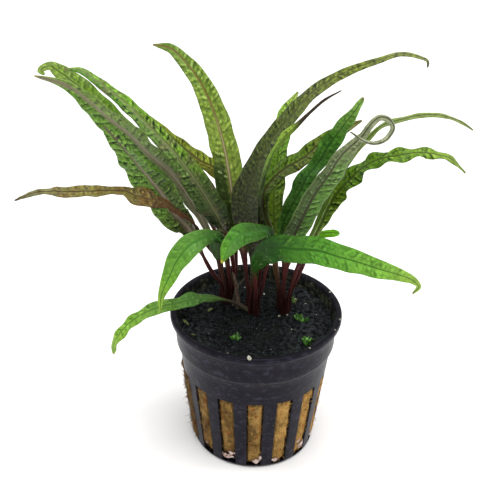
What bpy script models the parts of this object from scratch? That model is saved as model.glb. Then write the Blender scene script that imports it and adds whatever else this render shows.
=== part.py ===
"""A water trumpet plant with long narrow leaves, growing in a small slotted aquarium net pot.

The origin is the centre of the pot's underside, +Z is up and -Y is the side that is looked at.
Sizes are in millimetres and are turned into metres when a mesh is made.
"""

import math

import bmesh
import bpy
import numpy as np

MM = 0.001
GAP = 0.3  # clearance between pieces that touch

# Net pot
POT_HEIGHT = 50.0
RIM_RADIUS = 28.0
LIP_HEIGHT = 2.2
STEP_HEIGHT = 39.0  # height of the step between the slotted wall and the wider plain collar
COLLAR_RADIUS = 26.0  # at the step
COLLAR_TOP_RADIUS = 26.4  # under the lip
WALL_TOP_RADIUS = 25.1
FOOT_RADIUS = 20.3
FOOT_ROUND = 1.6
WALL = 1.0
FLOOR = 1.2
POT_SIDES = 60

# Slots in the lower wall, which turn under the bottom edge
SLOT_COUNT = 15
FIRST_SLOT = -88.7  # degrees from +X
SLOT_HALF_ANGLE = 6.75  # degrees, in the wall
SLOT_INNER_HALF_ANGLE = 7.1  # degrees, at the end in the floor
SLOT_TOP = 29.0
FOOT_RING_HEIGHT = 0.9
FLOOR_SLOT_INNER = 13.2
FLOOR_SLOT_OUTER = 18.4

# Mineral wool plug, which swells into the slots
PLUG_BOTTOM = FLOOR + GAP
PLUG_TOP = 42.0
PLUG_TOOTH_HALF_ANGLE = 5.8
PLUG_ROOT_EXTRA_ANGLE = 0.2
PLUG_RECESS = 0.25  # how far the wool stays inside the slots' outer face
PLUG_SWELL = 1.2  # how much further it stands out on the side where it bulges
PLUG_SWELL_SIDE = 180.0  # degrees from +X

# Soil
SOIL_BOTTOM = PLUG_TOP + GAP
SOIL_EDGE = 45.2
SOIL_MOUND = 0.9
SOIL_SIDES = 32

# Green sprouts on the soil, as x, y, radius and height
MOSS_TUFTS = {
    "moss_tuft_left": (-5.7, -12, 1.2, 3.2),
    "moss_tuft_front": (16.6, -14, 1.9, 4.4),
    "moss_tuft_right": (15.1, -0.6, 2.1, 3.2),
}
TUFT_SIDES = 10

# Leaves
STALK_THICKNESS = 1.4
BLADE_THICKNESS = 0.8
BLADE_STEP = 3.6  # distance between cross-sections along a blade
STALK_STEP = 7.0
SHORTEST_STEP = 1.6
MOST_TURN = 22.0  # degrees between two cross-sections
RIB_SHARE = 0.16  # half width of the midrib as a share of the blade's half width
# Neighbouring points of a cross-section, from the edge inwards. The upper and the lower side are parted
# along the same diagonal, so they never cross near the thin edge.
SAME_DIAGONALS = ((0, 1), (0, 5), (3, 2), (3, 4), (1, 2), (5, 4))

# Each leaf's route runs from the soil to the tip as rows of x, y, z and width. face holds the way
# the upper side looks at the start of the blade, halfway and at the tip. fold is how far each half
# of the blade is raised, in degrees. wave is the height and length of the ripples along the edges.
LEAVES = {
    "mottled_left_leaf": dict(
        route=[(-11.5, 8, 46.3, 1.6), (-11.7, 7.7, 53, 1.5), (-15.5, 6, 61.5, 1.6), (-18.5, 3, 70.5, 2),
               (-21.5, 0.5, 79, 5), (-25.5, -4, 87, 9), (-29, -8, 96, 10), (-32.5, -12, 104, 10.5),
               (-37, -16.5, 113, 9.5), (-40.5, -19, 119.5, 6.5), (-44, -20, 124.5, 0.3)],
        face=[(-0.3, -0.7, 0.7), (-0.3, -0.5, 0.8), (-0.6, -0.7, 0.3)], fold=15, wave=(0.4, 8)),
    "striped_left_leaf": dict(
        route=[(-12.8, 11.5, 46.1, 1.5), (-12.2, 11.4, 54.5, 1.5), (-14.3, 11, 67.5, 1.5),
               (-17.8, 9.8, 77, 3), (-22.5, 7.5, 87.7, 6), (-27.5, 5, 96.7, 8.5), (-33.5, 1.8, 104.4, 11),
               (-38.5, -1.2, 112, 12), (-44.5, -4.5, 119.2, 10.5), (-49.5, -7, 125.5, 7.5),
               (-55, -8, 130.5, 3.5), (-60.5, -8, 132.5, 1.6), (-65, -8, 133.5, 0.3)],
        face=[(-0.3, -0.8, 0.5), (-0.5, -0.8, 0.3), (-0.6, -0.8, 0.2)], fold=15, wave=(0.3, 9)),
    "green_left_leaf": dict(
        route=[(-9, 13, 46.5, 1.5), (-9.5, 12, 56, 1.5), (-10.6, 8.3, 69.4, 2.6), (-11.6, 4.6, 79, 7),
               (-14.7, 2.3, 87, 10), (-20, -0.5, 98, 8), (-26, -0.5, 106.5, 5.5), (-32, 1, 112.5, 5),
               (-40, 3, 120, 4.5), (-49, 5, 126.5, 3), (-53.5, 6.5, 129, 2.2), (-59, 7, 129.5, 0.3)],
        face=[(-0.4, -0.75, 0.5), (-0.3, -0.4, 0.8), (-0.1, -0.3, 0.9)], fold=15, wave=(0.4, 8)),
    "hooked_left_leaf": dict(
        route=[(-13.4, 14.3, 46, 1.4), (-12, 15, 57, 1.3), (-14.5, 14.5, 71.5, 1.5), (-25.5, 13, 87, 3),
               (-38, 12.5, 102.5, 4.5), (-49, 12.5, 114.5, 5), (-57.5, 15, 121.5, 5), (-62, 16, 124.5, 4),
               (-65, 16, 126.3, 2.6), (-67.3, 14.5, 125.5, 1.8), (-66, 13, 124.8, 0.4)],
        face=[(0, -0.7, 0.7), (0, -0.7, 0.7), (0.1, -0.6, 0.8)], fold=12, wave=(0.3, 9)),
    "yellow_left_leaf": dict(
        route=[(-6.5, 14, 46.2, 1.4), (-7, 15, 59, 1.3), (-8.5, 15.5, 77, 3), (-11, 16, 88, 5.5),
               (-14.5, 17.5, 92, 6.5), (-18.5, 19.5, 93, 6.5), (-24.5, 23, 96, 5), (-31, 25, 101, 3),
               (-36, 26, 106, 0.3)],
        face=[(0, -0.5, 0.9), (0, -0.4, 0.9), (0, -0.5, 0.9)], fold=15, wave=(0.4, 7)),
    "withered_leaf": dict(
        route=[(-9.2, 8, 46.3, 1.3), (-10.5, 6.1, 55.5, 1.3), (-13, 3.9, 67, 1.4), (-16.5, 1.1, 73.8, 1.6),
               (-18.4, -4, 81, 2), (-20.6, -9, 87.8, 2.4), (-25, -14.4, 94.4, 2.8), (-29, -17.3, 98.7, 4),
               (-31.5, -18.7, 100.1, 6.3), (-35, -19.3, 101.3, 7.3), (-39, -18.5, 102.5, 2.6),
               (-43.5, -17.8, 102.1, 3.4), (-54.5, -17, 101, 4), (-65, -16, 100, 1.8),
               (-72.5, -14, 96, 0.4)],
        face=[(0, -0.5, 0.9), (0, -0.5, 0.9), (0, -0.7, 0.7)], fold=8, wave=(0.3, 6)),
    "tall_yellow_green_leaf": dict(
        route=[(-3.5, 5, 46.6, 1.6), (-3, 5.5, 54, 1.6), (-3.4, 5.6, 59, 2), (-4, 5.7, 64.5, 4),
               (-5, 5.5, 72, 6.8), (-6.5, 5.5, 79.2, 8.8), (-8.5, 6.3, 90.3, 10), (-11, 11, 102, 9),
               (-14, 16, 110.5, 8), (-19, 21, 120, 6.3), (-23.5, 24, 125, 5), (-28.5, 27, 128.5, 3),
               (-34.5, 29, 129, 0.3)],
        face=[(-0.4, -0.7, 0.5), (-0.1, -0.7, 0.7), (-0.1, -0.8, 0.6)], fold=14, wave=(0.3, 8)),
    "long_arching_leaf": dict(
        route=[(-1.4, 1.5, 46.6, 1.5), (-1.4, 0.5, 56.5, 1.5), (-1, -1, 68.5, 2.4), (-1.7, -2.5, 79, 6.6),
               (-3.4, -3.5, 86.5, 9), (-4, -3.5, 94, 8.6), (-2, -4.5, 101, 7.6), (2, -6, 111.5, 6.5),
               (8, -8, 122, 5.8), (16, -9.5, 132.3, 4), (24, -10.5, 138, 3), (32.5, -11, 141.8, 2),
               (38, -10.5, 143.5, 1.6), (43.5, -10, 142.6, 1.2), (46.2, -9, 140.8, 0.9),
               (46.3, -9, 139, 0.3)],
        face=[(-0.5, -0.7, 0.5), (-0.5, -0.5, 0.7), (-0.2, -0.6, 0.8)], fold=15, wave=(0.6, 9)),
    "bright_back_leaf": dict(
        route=[(6.3, 8.6, 46.5, 1.4), (6.3, 9, 55, 1.3), (5.5, 9.5, 63.5, 1.6), (5.5, 10.5, 72.5, 4),
               (5, 12, 85, 7.5), (5.5, 14.5, 94.5, 8.5), (6.5, 17.5, 104, 8), (8, 20.5, 110.5, 5.5),
               (11.5, 24, 116.5, 0.3)],
        face=[(-0.3, -0.7, 0.6), (-0.5, -0.6, 0.4), (-0.6, -0.6, 0.5)], fold=15, wave=(0.3, 8)),
    "folded_narrow_leaf": dict(
        route=[(0.6, 3.4, 46.5, 1.3), (0.7, 2.2, 59, 1.3), (1.7, -3.2, 72.4, 1.4), (1.35, -6.1, 79.2, 2),
               (0.7, -7.1, 85, 2.4), (0.1, -8.2, 94.7, 2.4), (0.8, -9.5, 102.8, 2.8),
               (3.6, -11.5, 113.2, 3.6), (6, -12.5, 117.6, 4), (10, -12.5, 121.8, 2.6),
               (13.5, -12.3, 125.7, 1.6), (18, -12, 130, 1.3), (22.5, -12, 133, 0.4)],
        face=[(0.2, -0.8, 0.6), (0.7, -0.5, 0.6), (0.4, -0.4, 0.8)], fold=40, wave=(0.2, 8)),
    "olive_leaf": dict(
        route=[(7.3, 6, 46.6, 1.3), (7, 5.8, 56, 1.3), (6, 5, 66, 1.3), (4, 4, 77, 1.8),
               (1.5, 3.5, 85.5, 3), (1.5, 3, 91.5, 4.5), (4, 4, 95.5, 5.5), (8, 4, 99.5, 6),
               (13, 4, 103, 6), (18.5, 5, 108, 5.5), (25, 6, 112, 3.5), (30.5, 6, 115.5, 0.3)],
        face=[(-0.2, -0.5, 0.8), (0, -0.5, 0.8), (0, -0.6, 0.8)], fold=15, wave=(0.4, 8)),
    "dark_green_leaf": dict(
        route=[(9.6, 6, 46.2, 1.6), (9, 5.5, 56, 1.5), (8.5, 4, 65.5, 1.5), (8, 2, 73.5, 2),
               (7.5, 1.5, 79, 3.5), (9.5, 0.5, 86.5, 5), (12.5, 0, 93.5, 6.5), (14.5, -0.5, 99, 6),
               (17.5, -1, 104, 5), (20, -2.5, 110.5, 5.8), (22, -2.5, 114, 5.8), (25, -4, 120, 4.6),
               (27.5, -4, 124, 3), (29.5, -4, 127.5, 0.3)],
        face=[(0, -0.6, 0.8), (0, -0.5, 0.8), (0.6, -0.7, 0.4)], fold=15, wave=(0.6, 10)),
    "curled_tip_leaf": dict(
        route=[(8.6, 2.8, 46.4, 1.6), (8.5, 1.5, 57, 1.6), (9.4, -2, 69.5, 4), (11, -5, 81, 6.8),
               (13.2, -7, 88.5, 7.4), (16, -9, 97, 7.4), (20, -11, 105.5, 7.6), (23.5, -12.5, 113, 6.2),
               (27, -13, 117.5, 3.6), (28.8, -13.5, 119.8, 2.8), (31, -13.5, 123.4, 2.4),
               (33.5, -12.3, 125.2, 1.8), (36.6, -11.3, 124, 1.7), (38, -11, 121.3, 1.7),
               (36.6, -12.2, 118.8, 1.6), (33.5, -14.6, 118, 1.4), (30, -16.8, 119.3, 1),
               (25, -17.8, 123, 0.4)],
        face=[(0.3, -0.9, 0.4), (0.5, -0.8, 0.3), (0.2, -0.9, 0.3)], fold=12, wave=(0.2, 8)),
    "whip_leaf": dict(
        route=[(10.6, 1.2, 46.6, 1.2), (11, 0.4, 57.5, 1.2), (13.7, -1, 70.2, 1.3), (17, -3.3, 81.5, 1.8),
               (20.5, -5, 93.2, 2.2), (24, -5.8, 103.5, 2.4), (28, -6.5, 111, 2.2), (31, -6.5, 115, 2),
               (36, -5, 119.5, 1.8), (40.5, -3, 120, 2), (45.5, -1, 120.5, 2), (53, 2, 119.5, 1.6),
               (60, 4, 116.5, 1.1), (64, 5, 113.5, 0.4)],
        face=[(0, -0.7, 0.7), (0, -0.7, 0.7), (0, -0.7, 0.7)], fold=10, wave=(0.2, 8)),
    "ruffled_leaf": dict(
        route=[(11.9, 3.3, 46.4, 1.4), (11.3, 2.8, 53, 1.3), (12.6, 1.6, 59.5, 1.3), (15.2, 0.8, 68.5, 1.4),
               (17.7, 0.3, 77.5, 1.8), (19.3, 0, 82, 3), (21.3, 0, 88, 6.2), (24, -0.5, 94, 7),
               (27.3, -1.5, 98.8, 6.8), (31.5, -3, 104.5, 6.4), (35.5, -4, 107.5, 6),
               (40.5, -4.5, 109, 5.4), (47, -4, 110, 4.4), (52, -4, 109.5, 3.6), (56.5, -3, 107.8, 2.4),
               (62, -2, 102.5, 0.3)],
        face=[(0.3, -0.5, 0.8), (0.1, -0.4, 0.9), (0.1, -0.5, 0.8)], fold=10, wave=(1.0, 8)),
    "small_lime_leaf": dict(
        route=[(12.6, 8, 46.2, 1.2), (12.6, 8.2, 55, 1.2), (14.3, 8, 64, 1.2), (16.7, 6.8, 72, 1.4),
               (19, 5.8, 75, 2.4), (21.5, 5, 76, 3.4), (24, 4.4, 76.6, 3.4), (26, 4, 76.8, 2.4)],
        face=[(0, -0.4, 0.9), (0, -0.3, 1), (0, -0.3, 1)], fold=8, wave=(0, 8)),
    "broad_front_leaf": dict(
        route=[(1.4, -0.4, 46.7, 1.5), (0, -2.2, 58, 1.4), (-0.8, -5.2, 67.5, 1.6), (0.5, -8.8, 73.5, 5),
               (2.8, -11.3, 78.3, 7.6), (6.2, -12.5, 81, 9), (11.5, -14.5, 82, 8.5), (18, -15.5, 82.3, 9),
               (24, -17, 81.3, 8.2), (30.5, -18, 80, 7.2), (36.5, -19, 78.5, 6), (43, -19, 76.5, 4),
               (47, -18.5, 74.5, 2.6), (49, -18, 72, 1.6), (47.5, -17, 68.5, 0.4)],
        face=[(-0.1, -0.9, 0.3), (-0.1, -0.9, 0.4), (-0.3, -0.8, 0.3)], fold=15, wave=(0.4, 9)),
    "small_front_leaf": dict(
        route=[(2.2, 1.4, 46.7, 1.3), (1.9, 0, 58.5, 1.3), (3.5, -2.2, 70, 1.3), (4.3, -4.4, 77.5, 1.8),
               (3, -7.6, 83.3, 3.6), (-1.5, -14, 87, 6), (-6, -18.3, 88, 6.8), (-9, -23, 86, 5),
               (-10.5, -26.5, 83.6, 0.4)],
        face=[(-0.1, -0.8, 0.5), (-0.1, -0.7, 0.6), (0.3, -0.8, 0.5)], fold=18, wave=(0.2, 8)),
    "drooping_left_leaf": dict(
        route=[(-8, 9.8, 46.4, 1.4), (-8.6, 7.2, 54, 1.3), (-9.5, 2, 66.5, 1.5), (-11.3, -4.2, 78.2, 3),
               (-14.5, -8.7, 82.2, 4.4), (-17.5, -12, 83, 6), (-20.5, -14.5, 82.3, 7.2),
               (-23.5, -16.5, 79.3, 7), (-26.5, -17.5, 73, 5), (-29, -18, 66.5, 2.4),
               (-29.7, -17, 59.5, 0.4)],
        face=[(-0.1, -0.7, 0.6), (-0.2, -0.9, 0.3), (0, -1, 0.2)], fold=14, wave=(0.3, 9)),
    "leaf_over_rim": dict(
        route=[(-2.6, 2.6, 47.2, 1.4), (-7, 3.5, 49.2, 1.5), (-11, 3.5, 50.6, 1.5), (-16.5, 2, 52.2, 3),
               (-20.5, 0, 52.8, 4.6), (-26, -3.3, 53.3, 5), (-31.5, -6, 53.4, 4.6),
               (-37.5, -8.4, 51.4, 4.2), (-41, -9.3, 48.6, 4), (-43.7, -9.7, 45, 3.8), (-45.5, -9.5, 41, 3),
               (-46, -9, 37, 0.6)],
        face=[(0, -0.6, 0.8), (-0.1, -0.6, 0.8), (-0.6, -0.6, 0.5)], fold=12, wave=(0.6, 7)),
    "small_dark_leaf": dict(
        route=[(-6.5, 10.7, 46.5, 1.2), (-7, 8.8, 53, 1.2), (-8, 6.6, 64.2, 1.6), (-9.3, 3.2, 73.8, 1.8),
               (-10.1, 1.8, 76.8, 1.6), (-11.6, 0.9, 78.7, 1.8), (-13.1, 0.3, 77.4, 2.8),
               (-13.6, 0.3, 74.3, 4.2), (-13.1, 0.3, 71, 3), (-12.6, 0.4, 67.8, 0.4)],
        face=[(-0.3, -0.8, 0.6), (-0.4, -0.8, 0.5), (-0.2, -1, 0.2)], fold=8, wave=(0, 8)),
}

# Dead stalks left in the soil, as rows of x, y, z and width
OLD_STALKS = {
    "old_stalk_tan": [(-5.9, 5.7, 46.5, 1.2), (-6.7, 5.3, 55, 1.2), (-7.8, 5.1, 60.5, 0.5)],
    "old_stalk_grey": [(-7.3, 7, 46.6, 1), (-6.6, 7.1, 53, 0.9), (-2.9, 7.8, 58, 0.5)],
}


def clear_scene():
    """Remove the objects of the scene that Blender starts with."""
    for thing in list(bpy.data.objects):
        bpy.data.objects.remove(thing)


def material(name, colour, roughness):
    """A plain Principled material."""
    mat = bpy.data.materials.new(name)
    mat.use_nodes = True
    shader = mat.node_tree.nodes["Principled BSDF"]
    shader.inputs["Base Color"].default_value = (*colour, 1)
    shader.inputs["Roughness"].default_value = roughness
    shader.inputs["Metallic"].default_value = 0.0
    return mat


def add_object(name, points, faces, mat, smooth=True):
    """An object with a closed mesh made from points in millimetres."""
    mesh = bpy.data.meshes.new(name)
    mesh.from_pydata([tuple(float(v) * MM for v in p) for p in points], [], faces)
    bm = bmesh.new()
    bm.from_mesh(mesh)
    bmesh.ops.recalc_face_normals(bm, faces=bm.faces)
    bm.to_mesh(mesh)
    bm.free()
    if smooth:
        mesh.shade_smooth()
        mesh.set_sharp_from_angle(angle=math.radians(40))
    mesh.materials.append(mat)
    thing = bpy.data.objects.new(name, mesh)
    bpy.context.scene.collection.objects.link(thing)
    return thing


def polar(radius, angle, height):
    """A point at radius from the pot's axis, at an angle in radians from +X."""
    return (radius * math.cos(angle), radius * math.sin(angle), height)


def turned(profile, sides):
    """Points and faces of a solid turned about Z, from a profile that starts and ends on the axis."""
    points = [(0, 0, profile[0][1])]
    faces = []
    for radius, height in profile[1:-1]:
        points += [polar(radius, 2 * math.pi * k / sides, height) for k in range(sides)]
    points.append((0, 0, profile[-1][1]))
    last = len(points) - 1
    rings = len(profile) - 2
    for k in range(sides):
        after = (k + 1) % sides
        faces.append((0, 1 + after, 1 + k))
        for ring in range(rings - 1):
            low = 1 + ring * sides
            high = low + sides
            faces.append((low + k, low + after, high + after, high + k))
        top = 1 + (rings - 1) * sides
        faces.append((top + k, top + after, last))
    return points, faces


def wall_radius(height):
    """Outer radius of the slotted wall at a height."""
    share = (height - FOOT_ROUND) / (STEP_HEIGHT - FOOT_ROUND)
    return FOOT_RADIUS + (WALL_TOP_RADIUS - FOOT_RADIUS) * share


def pot_profile():
    """Section of the pot from the middle of its underside to the middle of its floor."""
    lip = POT_HEIGHT - LIP_HEIGHT
    outside = [
        (FOOT_RADIUS - FOOT_ROUND, 0),
        (FOOT_RADIUS - 0.5, 0.5),
        (FOOT_RADIUS, FOOT_ROUND),
        (wall_radius(SLOT_TOP), SLOT_TOP),
        (wall_radius(STEP_HEIGHT - 0.8), STEP_HEIGHT - 0.8),
        (COLLAR_RADIUS - 0.3, STEP_HEIGHT - 0.2),
        (COLLAR_RADIUS, STEP_HEIGHT + 0.4),
        (COLLAR_TOP_RADIUS, lip),
        (RIM_RADIUS - 0.3, lip + 0.2),
        (RIM_RADIUS, lip + 0.7),
        (RIM_RADIUS, POT_HEIGHT - 0.5),
        (RIM_RADIUS - 0.4, POT_HEIGHT),
    ]
    return [(0, 0), *outside, *inner_profile(), (0, FLOOR)]


def inner_profile():
    """The part of the section from the top of the lip to the edge of the floor."""
    lip = POT_HEIGHT - LIP_HEIGHT
    return [
        (COLLAR_TOP_RADIUS - 0.2, POT_HEIGHT),
        (COLLAR_TOP_RADIUS - WALL, lip),
        (COLLAR_RADIUS - WALL, STEP_HEIGHT + 0.6),
        (wall_radius(STEP_HEIGHT) - WALL, STEP_HEIGHT - 0.4),
        (wall_radius(SLOT_TOP) - WALL, SLOT_TOP),
        (wall_radius(FLOOR + 1) - WALL, FLOOR + 1),
        (wall_radius(FLOOR) - WALL - 0.8, FLOOR),
    ]


def inner_radius(height):
    """Inner radius of the pot at a height above its floor."""
    inside = sorted((z, r) for r, z in inner_profile())
    heights = [z for z, _ in inside]
    radii = [r for _, r in inside]
    return float(np.interp(height, heights, radii))


def slot_angles():
    """The directions of the slots, one of which faces -Y but for a small turn."""
    return [2 * math.pi * k / SLOT_COUNT + math.radians(FIRST_SLOT) for k in range(SLOT_COUNT)]


def slot_cutter():
    """One wedge for each slot: through the lower wall, and through the floor beside it."""
    beyond = RIM_RADIUS + 2
    depth = beyond - FLOOR_SLOT_INNER
    section = [
        (FLOOR_SLOT_INNER, -1),
        (FLOOR_SLOT_OUTER, -1),
        (FLOOR_SLOT_OUTER, FOOT_RING_HEIGHT),
        (beyond, FOOT_RING_HEIGHT),
        (beyond, SLOT_TOP),
        (FLOOR_SLOT_INNER, SLOT_TOP),
    ]
    count = len(section)
    points = []
    faces = []
    for middle in slot_angles():
        start = len(points)
        for side in (-1, 1):
            near = polar(FLOOR_SLOT_INNER, middle + side * math.radians(SLOT_INNER_HALF_ANGLE), 0)
            far = polar(beyond, middle + side * math.radians(SLOT_HALF_ANGLE), 0)
            for radius, height in section:
                share = (radius - FLOOR_SLOT_INNER) / depth
                points.append((
                    near[0] + share * (far[0] - near[0]),
                    near[1] + share * (far[1] - near[1]),
                    height,
                ))
        faces.append([start + k for k in range(count)])
        faces.append([start + count + k for k in reversed(range(count))])
        for k in range(count):
            after = (k + 1) % count
            faces.append((start + k, start + count + k, start + count + after, start + after))
    cutter = add_object("slot_cutter", points, faces, None, smooth=False)
    cutter.hide_render = True
    cutter.display_type = "WIRE"
    return cutter


def make_pot():
    """The net pot: a turned cup with a lip, cut by fifteen slots."""
    points, faces = turned(pot_profile(), POT_SIDES)
    pot = add_object("net_pot", points, faces, material("pot plastic", (0.035, 0.033, 0.045), 0.4))
    cut = pot.modifiers.new("slots", "BOOLEAN")
    cut.operation = "DIFFERENCE"
    cut.object = slot_cutter()


def swell(angle):
    """How far the wool stands out in the slot at an angle, more on the side where it bulges."""
    towards = math.cos(angle - math.radians(PLUG_SWELL_SIDE))
    return PLUG_SWELL * max(0.0, towards) ** 4


def make_plug():
    """The mineral wool: a plug inside the pot with one ridge in each slot."""
    levels = [
        (PLUG_BOTTOM, False),
        (PLUG_BOTTOM + 0.3, True),
        (0.5 * (PLUG_BOTTOM + SLOT_TOP), True),
        (SLOT_TOP - 2 * GAP, True),
        (SLOT_TOP - GAP, False),
        (STEP_HEIGHT - 1, False),
        (PLUG_TOP, False),
    ]
    tooth = math.radians(PLUG_TOOTH_HALF_ANGLE)
    root = tooth + math.radians(PLUG_ROOT_EXTRA_ANGLE)
    points = []
    for height, stands_out in levels:
        inner = min(inner_radius(height), wall_radius(STEP_HEIGHT) - WALL) - GAP
        for middle in slot_angles():
            outer = wall_radius(height) - PLUG_RECESS + swell(middle)
            reach = outer if stands_out else inner - 0.05
            points += [
                polar(inner, middle - root, height),
                polar(reach, middle - tooth, height),
                polar(reach, middle + tooth, height),
                polar(inner, middle + root, height),
            ]
    sides = 4 * SLOT_COUNT
    faces = []
    for level in range(len(levels) - 1):
        for k in range(sides):
            after = (k + 1) % sides
            low = level * sides
            faces.append((low + k, low + after, low + sides + after, low + sides + k))
    faces.append(list(range(sides)))
    faces.append([(len(levels) - 1) * sides + k for k in range(sides)])
    add_object("growing_plug", points, faces, material("mineral wool", (0.36, 0.24, 0.09), 0.95))


def soil_height(x, y):
    """Height of the soil: a low mound with small lumps."""
    share = math.hypot(x, y) / RIM_RADIUS
    lumps = 0.25 * math.sin(0.62 * x + 1.1) * math.cos(0.55 * y - 0.4)
    return SOIL_EDGE + SOIL_MOUND * (1 - share**2) + lumps


def make_soil():
    """The layer of dark soil on the plug."""
    edge = inner_radius(SOIL_EDGE) - GAP
    rings = [0.25 * edge, 0.5 * edge, 0.75 * edge, 0.93 * edge, edge]
    profile = [(0, SOIL_BOTTOM), (inner_radius(SOIL_BOTTOM) - GAP, SOIL_BOTTOM)]
    profile += [(radius, SOIL_EDGE) for radius in reversed(rings)]
    profile.append((0, SOIL_EDGE))
    points, faces = turned(profile, SOIL_SIDES)
    first_top = 1 + SOIL_SIDES
    points = [
        p if index < first_top else (p[0], p[1], soil_height(p[0], p[1]))
        for index, p in enumerate(points)
    ]
    add_object("potting_soil", points, faces, material("soil", (0.02, 0.022, 0.02), 0.95))


def make_moss_tufts():
    """Low lumpy cones for the tufts of green sprouts that stand on the soil."""
    green = material("moss", (0.1, 0.28, 0.04), 0.7)
    for name, (x, y, radius, height) in MOSS_TUFTS.items():
        profile = [
            (0, 0),
            (0.75 * radius, 0),
            (radius, 0.4 * height),
            (0.55 * radius, 0.8 * height),
            (0, height),
        ]
        points, faces = turned(profile, TUFT_SIDES)
        ground = max(soil_height(x + a, y + b) for a, b, _ in points) + GAP
        placed = []
        for a, b, c in points:
            lump = 1 + 0.12 * math.cos(3 * math.atan2(b, a) + c)
            placed.append((x + lump * a, y + lump * b, ground + c))
        add_object(name, placed, faces, green)


def cubic(marks, values, at):
    """A smooth curve through values at marks, read at the places at."""
    marks = np.asarray(marks, float)
    values = np.asarray(values, float)
    steps = np.diff(marks)
    slopes = np.diff(values, axis=0) / steps[:, None]
    tangents = np.empty_like(values)
    tangents[0] = slopes[0]
    tangents[-1] = slopes[-1]
    weights = (steps[1:] + steps[:-1])[:, None]
    tangents[1:-1] = (slopes[:-1] * steps[1:, None] + slopes[1:] * steps[:-1, None]) / weights
    piece = np.clip(np.searchsorted(marks, at, side="right") - 1, 0, len(marks) - 2)
    step = steps[piece][:, None]
    q = ((at - marks[piece])[:, None]) / step
    return (
        (2 * q**3 - 3 * q**2 + 1) * values[piece]
        + (q**3 - 2 * q**2 + q) * step * tangents[piece]
        + (3 * q**2 - 2 * q**3) * values[piece + 1]
        + (q**3 - q**2) * step * tangents[piece + 1]
    )


def unit(vectors):
    """The vectors at length one."""
    return vectors / np.linalg.norm(vectors, axis=1, keepdims=True)


def direction(marks, centres, at):
    """Which way a route runs at the places at."""
    nudge = 0.01
    ahead = cubic(marks, centres, np.minimum(at + nudge, marks[-1]))
    behind = cubic(marks, centres, np.maximum(at - nudge, 0))
    return unit(ahead - behind)


def sections_along(marks, rows):
    """Places along a leaf for its cross-sections, closer on the blade and where it bends."""
    places = [0.0]
    while places[-1] < marks[-1]:
        here = places[-1]
        on_blade = np.interp(here + BLADE_STEP, marks, rows[:, 3]) > 1.8 * STALK_THICKNESS
        step = BLADE_STEP if on_blade else STALK_STEP
        while step > SHORTEST_STEP:
            start, end = direction(marks, rows[:, :3], np.array([here, here + step]))
            if start @ end > math.cos(math.radians(MOST_TURN)):
                break
            step *= 0.8
        left = marks[-1] - here
        places.append(marks[-1] if left < 1.4 * step else here + step)
    return np.array(places)


def blade_frame(route, face, at=None):
    """Centres, widths, normals and crosswise directions along a leaf."""
    rows = np.asarray(route, float)
    marks = np.concatenate([[0], np.cumsum(np.linalg.norm(np.diff(rows[:, :3], axis=0), axis=1))])
    if at is None:
        at = sections_along(marks, rows)
    centres = cubic(marks, rows[:, :3], at)
    widths = np.interp(at, marks, rows[:, 3])
    along = direction(marks, rows[:, :3], at)
    face_marks = np.array([0.3, 0.65, 1.0]) * marks[-1]
    looks = np.stack([np.interp(at, face_marks, [f[k] for f in face]) for k in range(3)], -1)
    normals = unit(looks - (looks * along).sum(1, keepdims=True) * along)
    across = np.cross(along, normals)
    return at, centres, widths, normals, across


def leaf_mesh(route, face, fold, wave):
    """Points and faces of a thin closed leaf: six points around each cross-section and a tip."""
    at, centres, widths, normals, across = blade_frame(route, face)
    blade = np.clip((widths - 1.2 * STALK_THICKNESS) / (2 * STALK_THICKNESS), 0, 1)
    raise_angle = np.radians(fold) * blade
    height, length = wave
    points = []
    for k in range(len(at) - 1):
        half = 0.5 * widths[k]
        lift = half * math.sin(raise_angle[k])
        reach = half * math.cos(raise_angle[k])
        rib = half * (0.5 + (RIB_SHARE - 0.5) * blade[k])
        thick = min(STALK_THICKNESS, 2 * half)
        thick = 0.5 * (thick + (BLADE_THICKNESS - thick) * blade[k])
        left = lift + blade[k] * height * math.sin(2 * math.pi * at[k] / length)
        right = lift + blade[k] * height * math.sin(2 * math.pi * at[k] / length + 2.2)
        section = [(-reach, left), (-rib, thick), (rib, thick), (reach, right), (rib, -thick), (-rib, -thick)]
        points += [centres[k] + a * across[k] + n * normals[k] for a, n in section]
    points.append(centres[-1])
    around = 6
    tip = len(points) - 1
    rings = len(at) - 1
    faces = [list(range(around))]
    for ring in range(rings - 1):
        low = ring * around
        high = low + around
        for a, b in SAME_DIAGONALS:
            faces += [(low + a, low + b, high + b), (low + a, high + b, high + a)]
    low = (rings - 1) * around
    faces += [(low + k, low + (k + 1) % around, tip) for k in range(around)]
    return points, faces


def make_leaves():
    """Every leaf with its stalk, as one piece each."""
    green = material("leaf green", (0.13, 0.27, 0.05), 0.45)
    withered = material("withered leaf", (0.2, 0.15, 0.05), 0.6)
    for name, leaf in LEAVES.items():
        points, faces = leaf_mesh(leaf["route"], leaf["face"], leaf["fold"], leaf["wave"])
        add_object(name, points, faces, withered if name == "withered_leaf" else green)


def make_old_stalks():
    """Short dead stalks that stand between the leaves."""
    dead = material("dead stalk", (0.3, 0.2, 0.1), 0.7)
    upright = [(0, -1, 0.3)] * 3
    for name, route in OLD_STALKS.items():
        points, faces = leaf_mesh(route, upright, 0, (0, 1))
        add_object(name, points, faces, dead)


clear_scene()
make_pot()
make_plug()
make_soil()
make_moss_tufts()
make_leaves()
make_old_stalks()
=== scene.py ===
"""A potted water trumpet plant: long rippled leaves that rise from dark soil in a slotted net pot.

Sizes are in millimetres and are turned into metres when a mesh is made. Places are in the frame of
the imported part: the origin is under the pot, +Z is up and -Y is the side that is looked at.
"""

import math

import bmesh
import bpy
import numpy as np
from bpy.props import FloatProperty, FloatVectorProperty, IntProperty, PointerProperty
from bpy.types import Operator, Panel, PropertyGroup
from mathutils import Matrix, Vector


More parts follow.
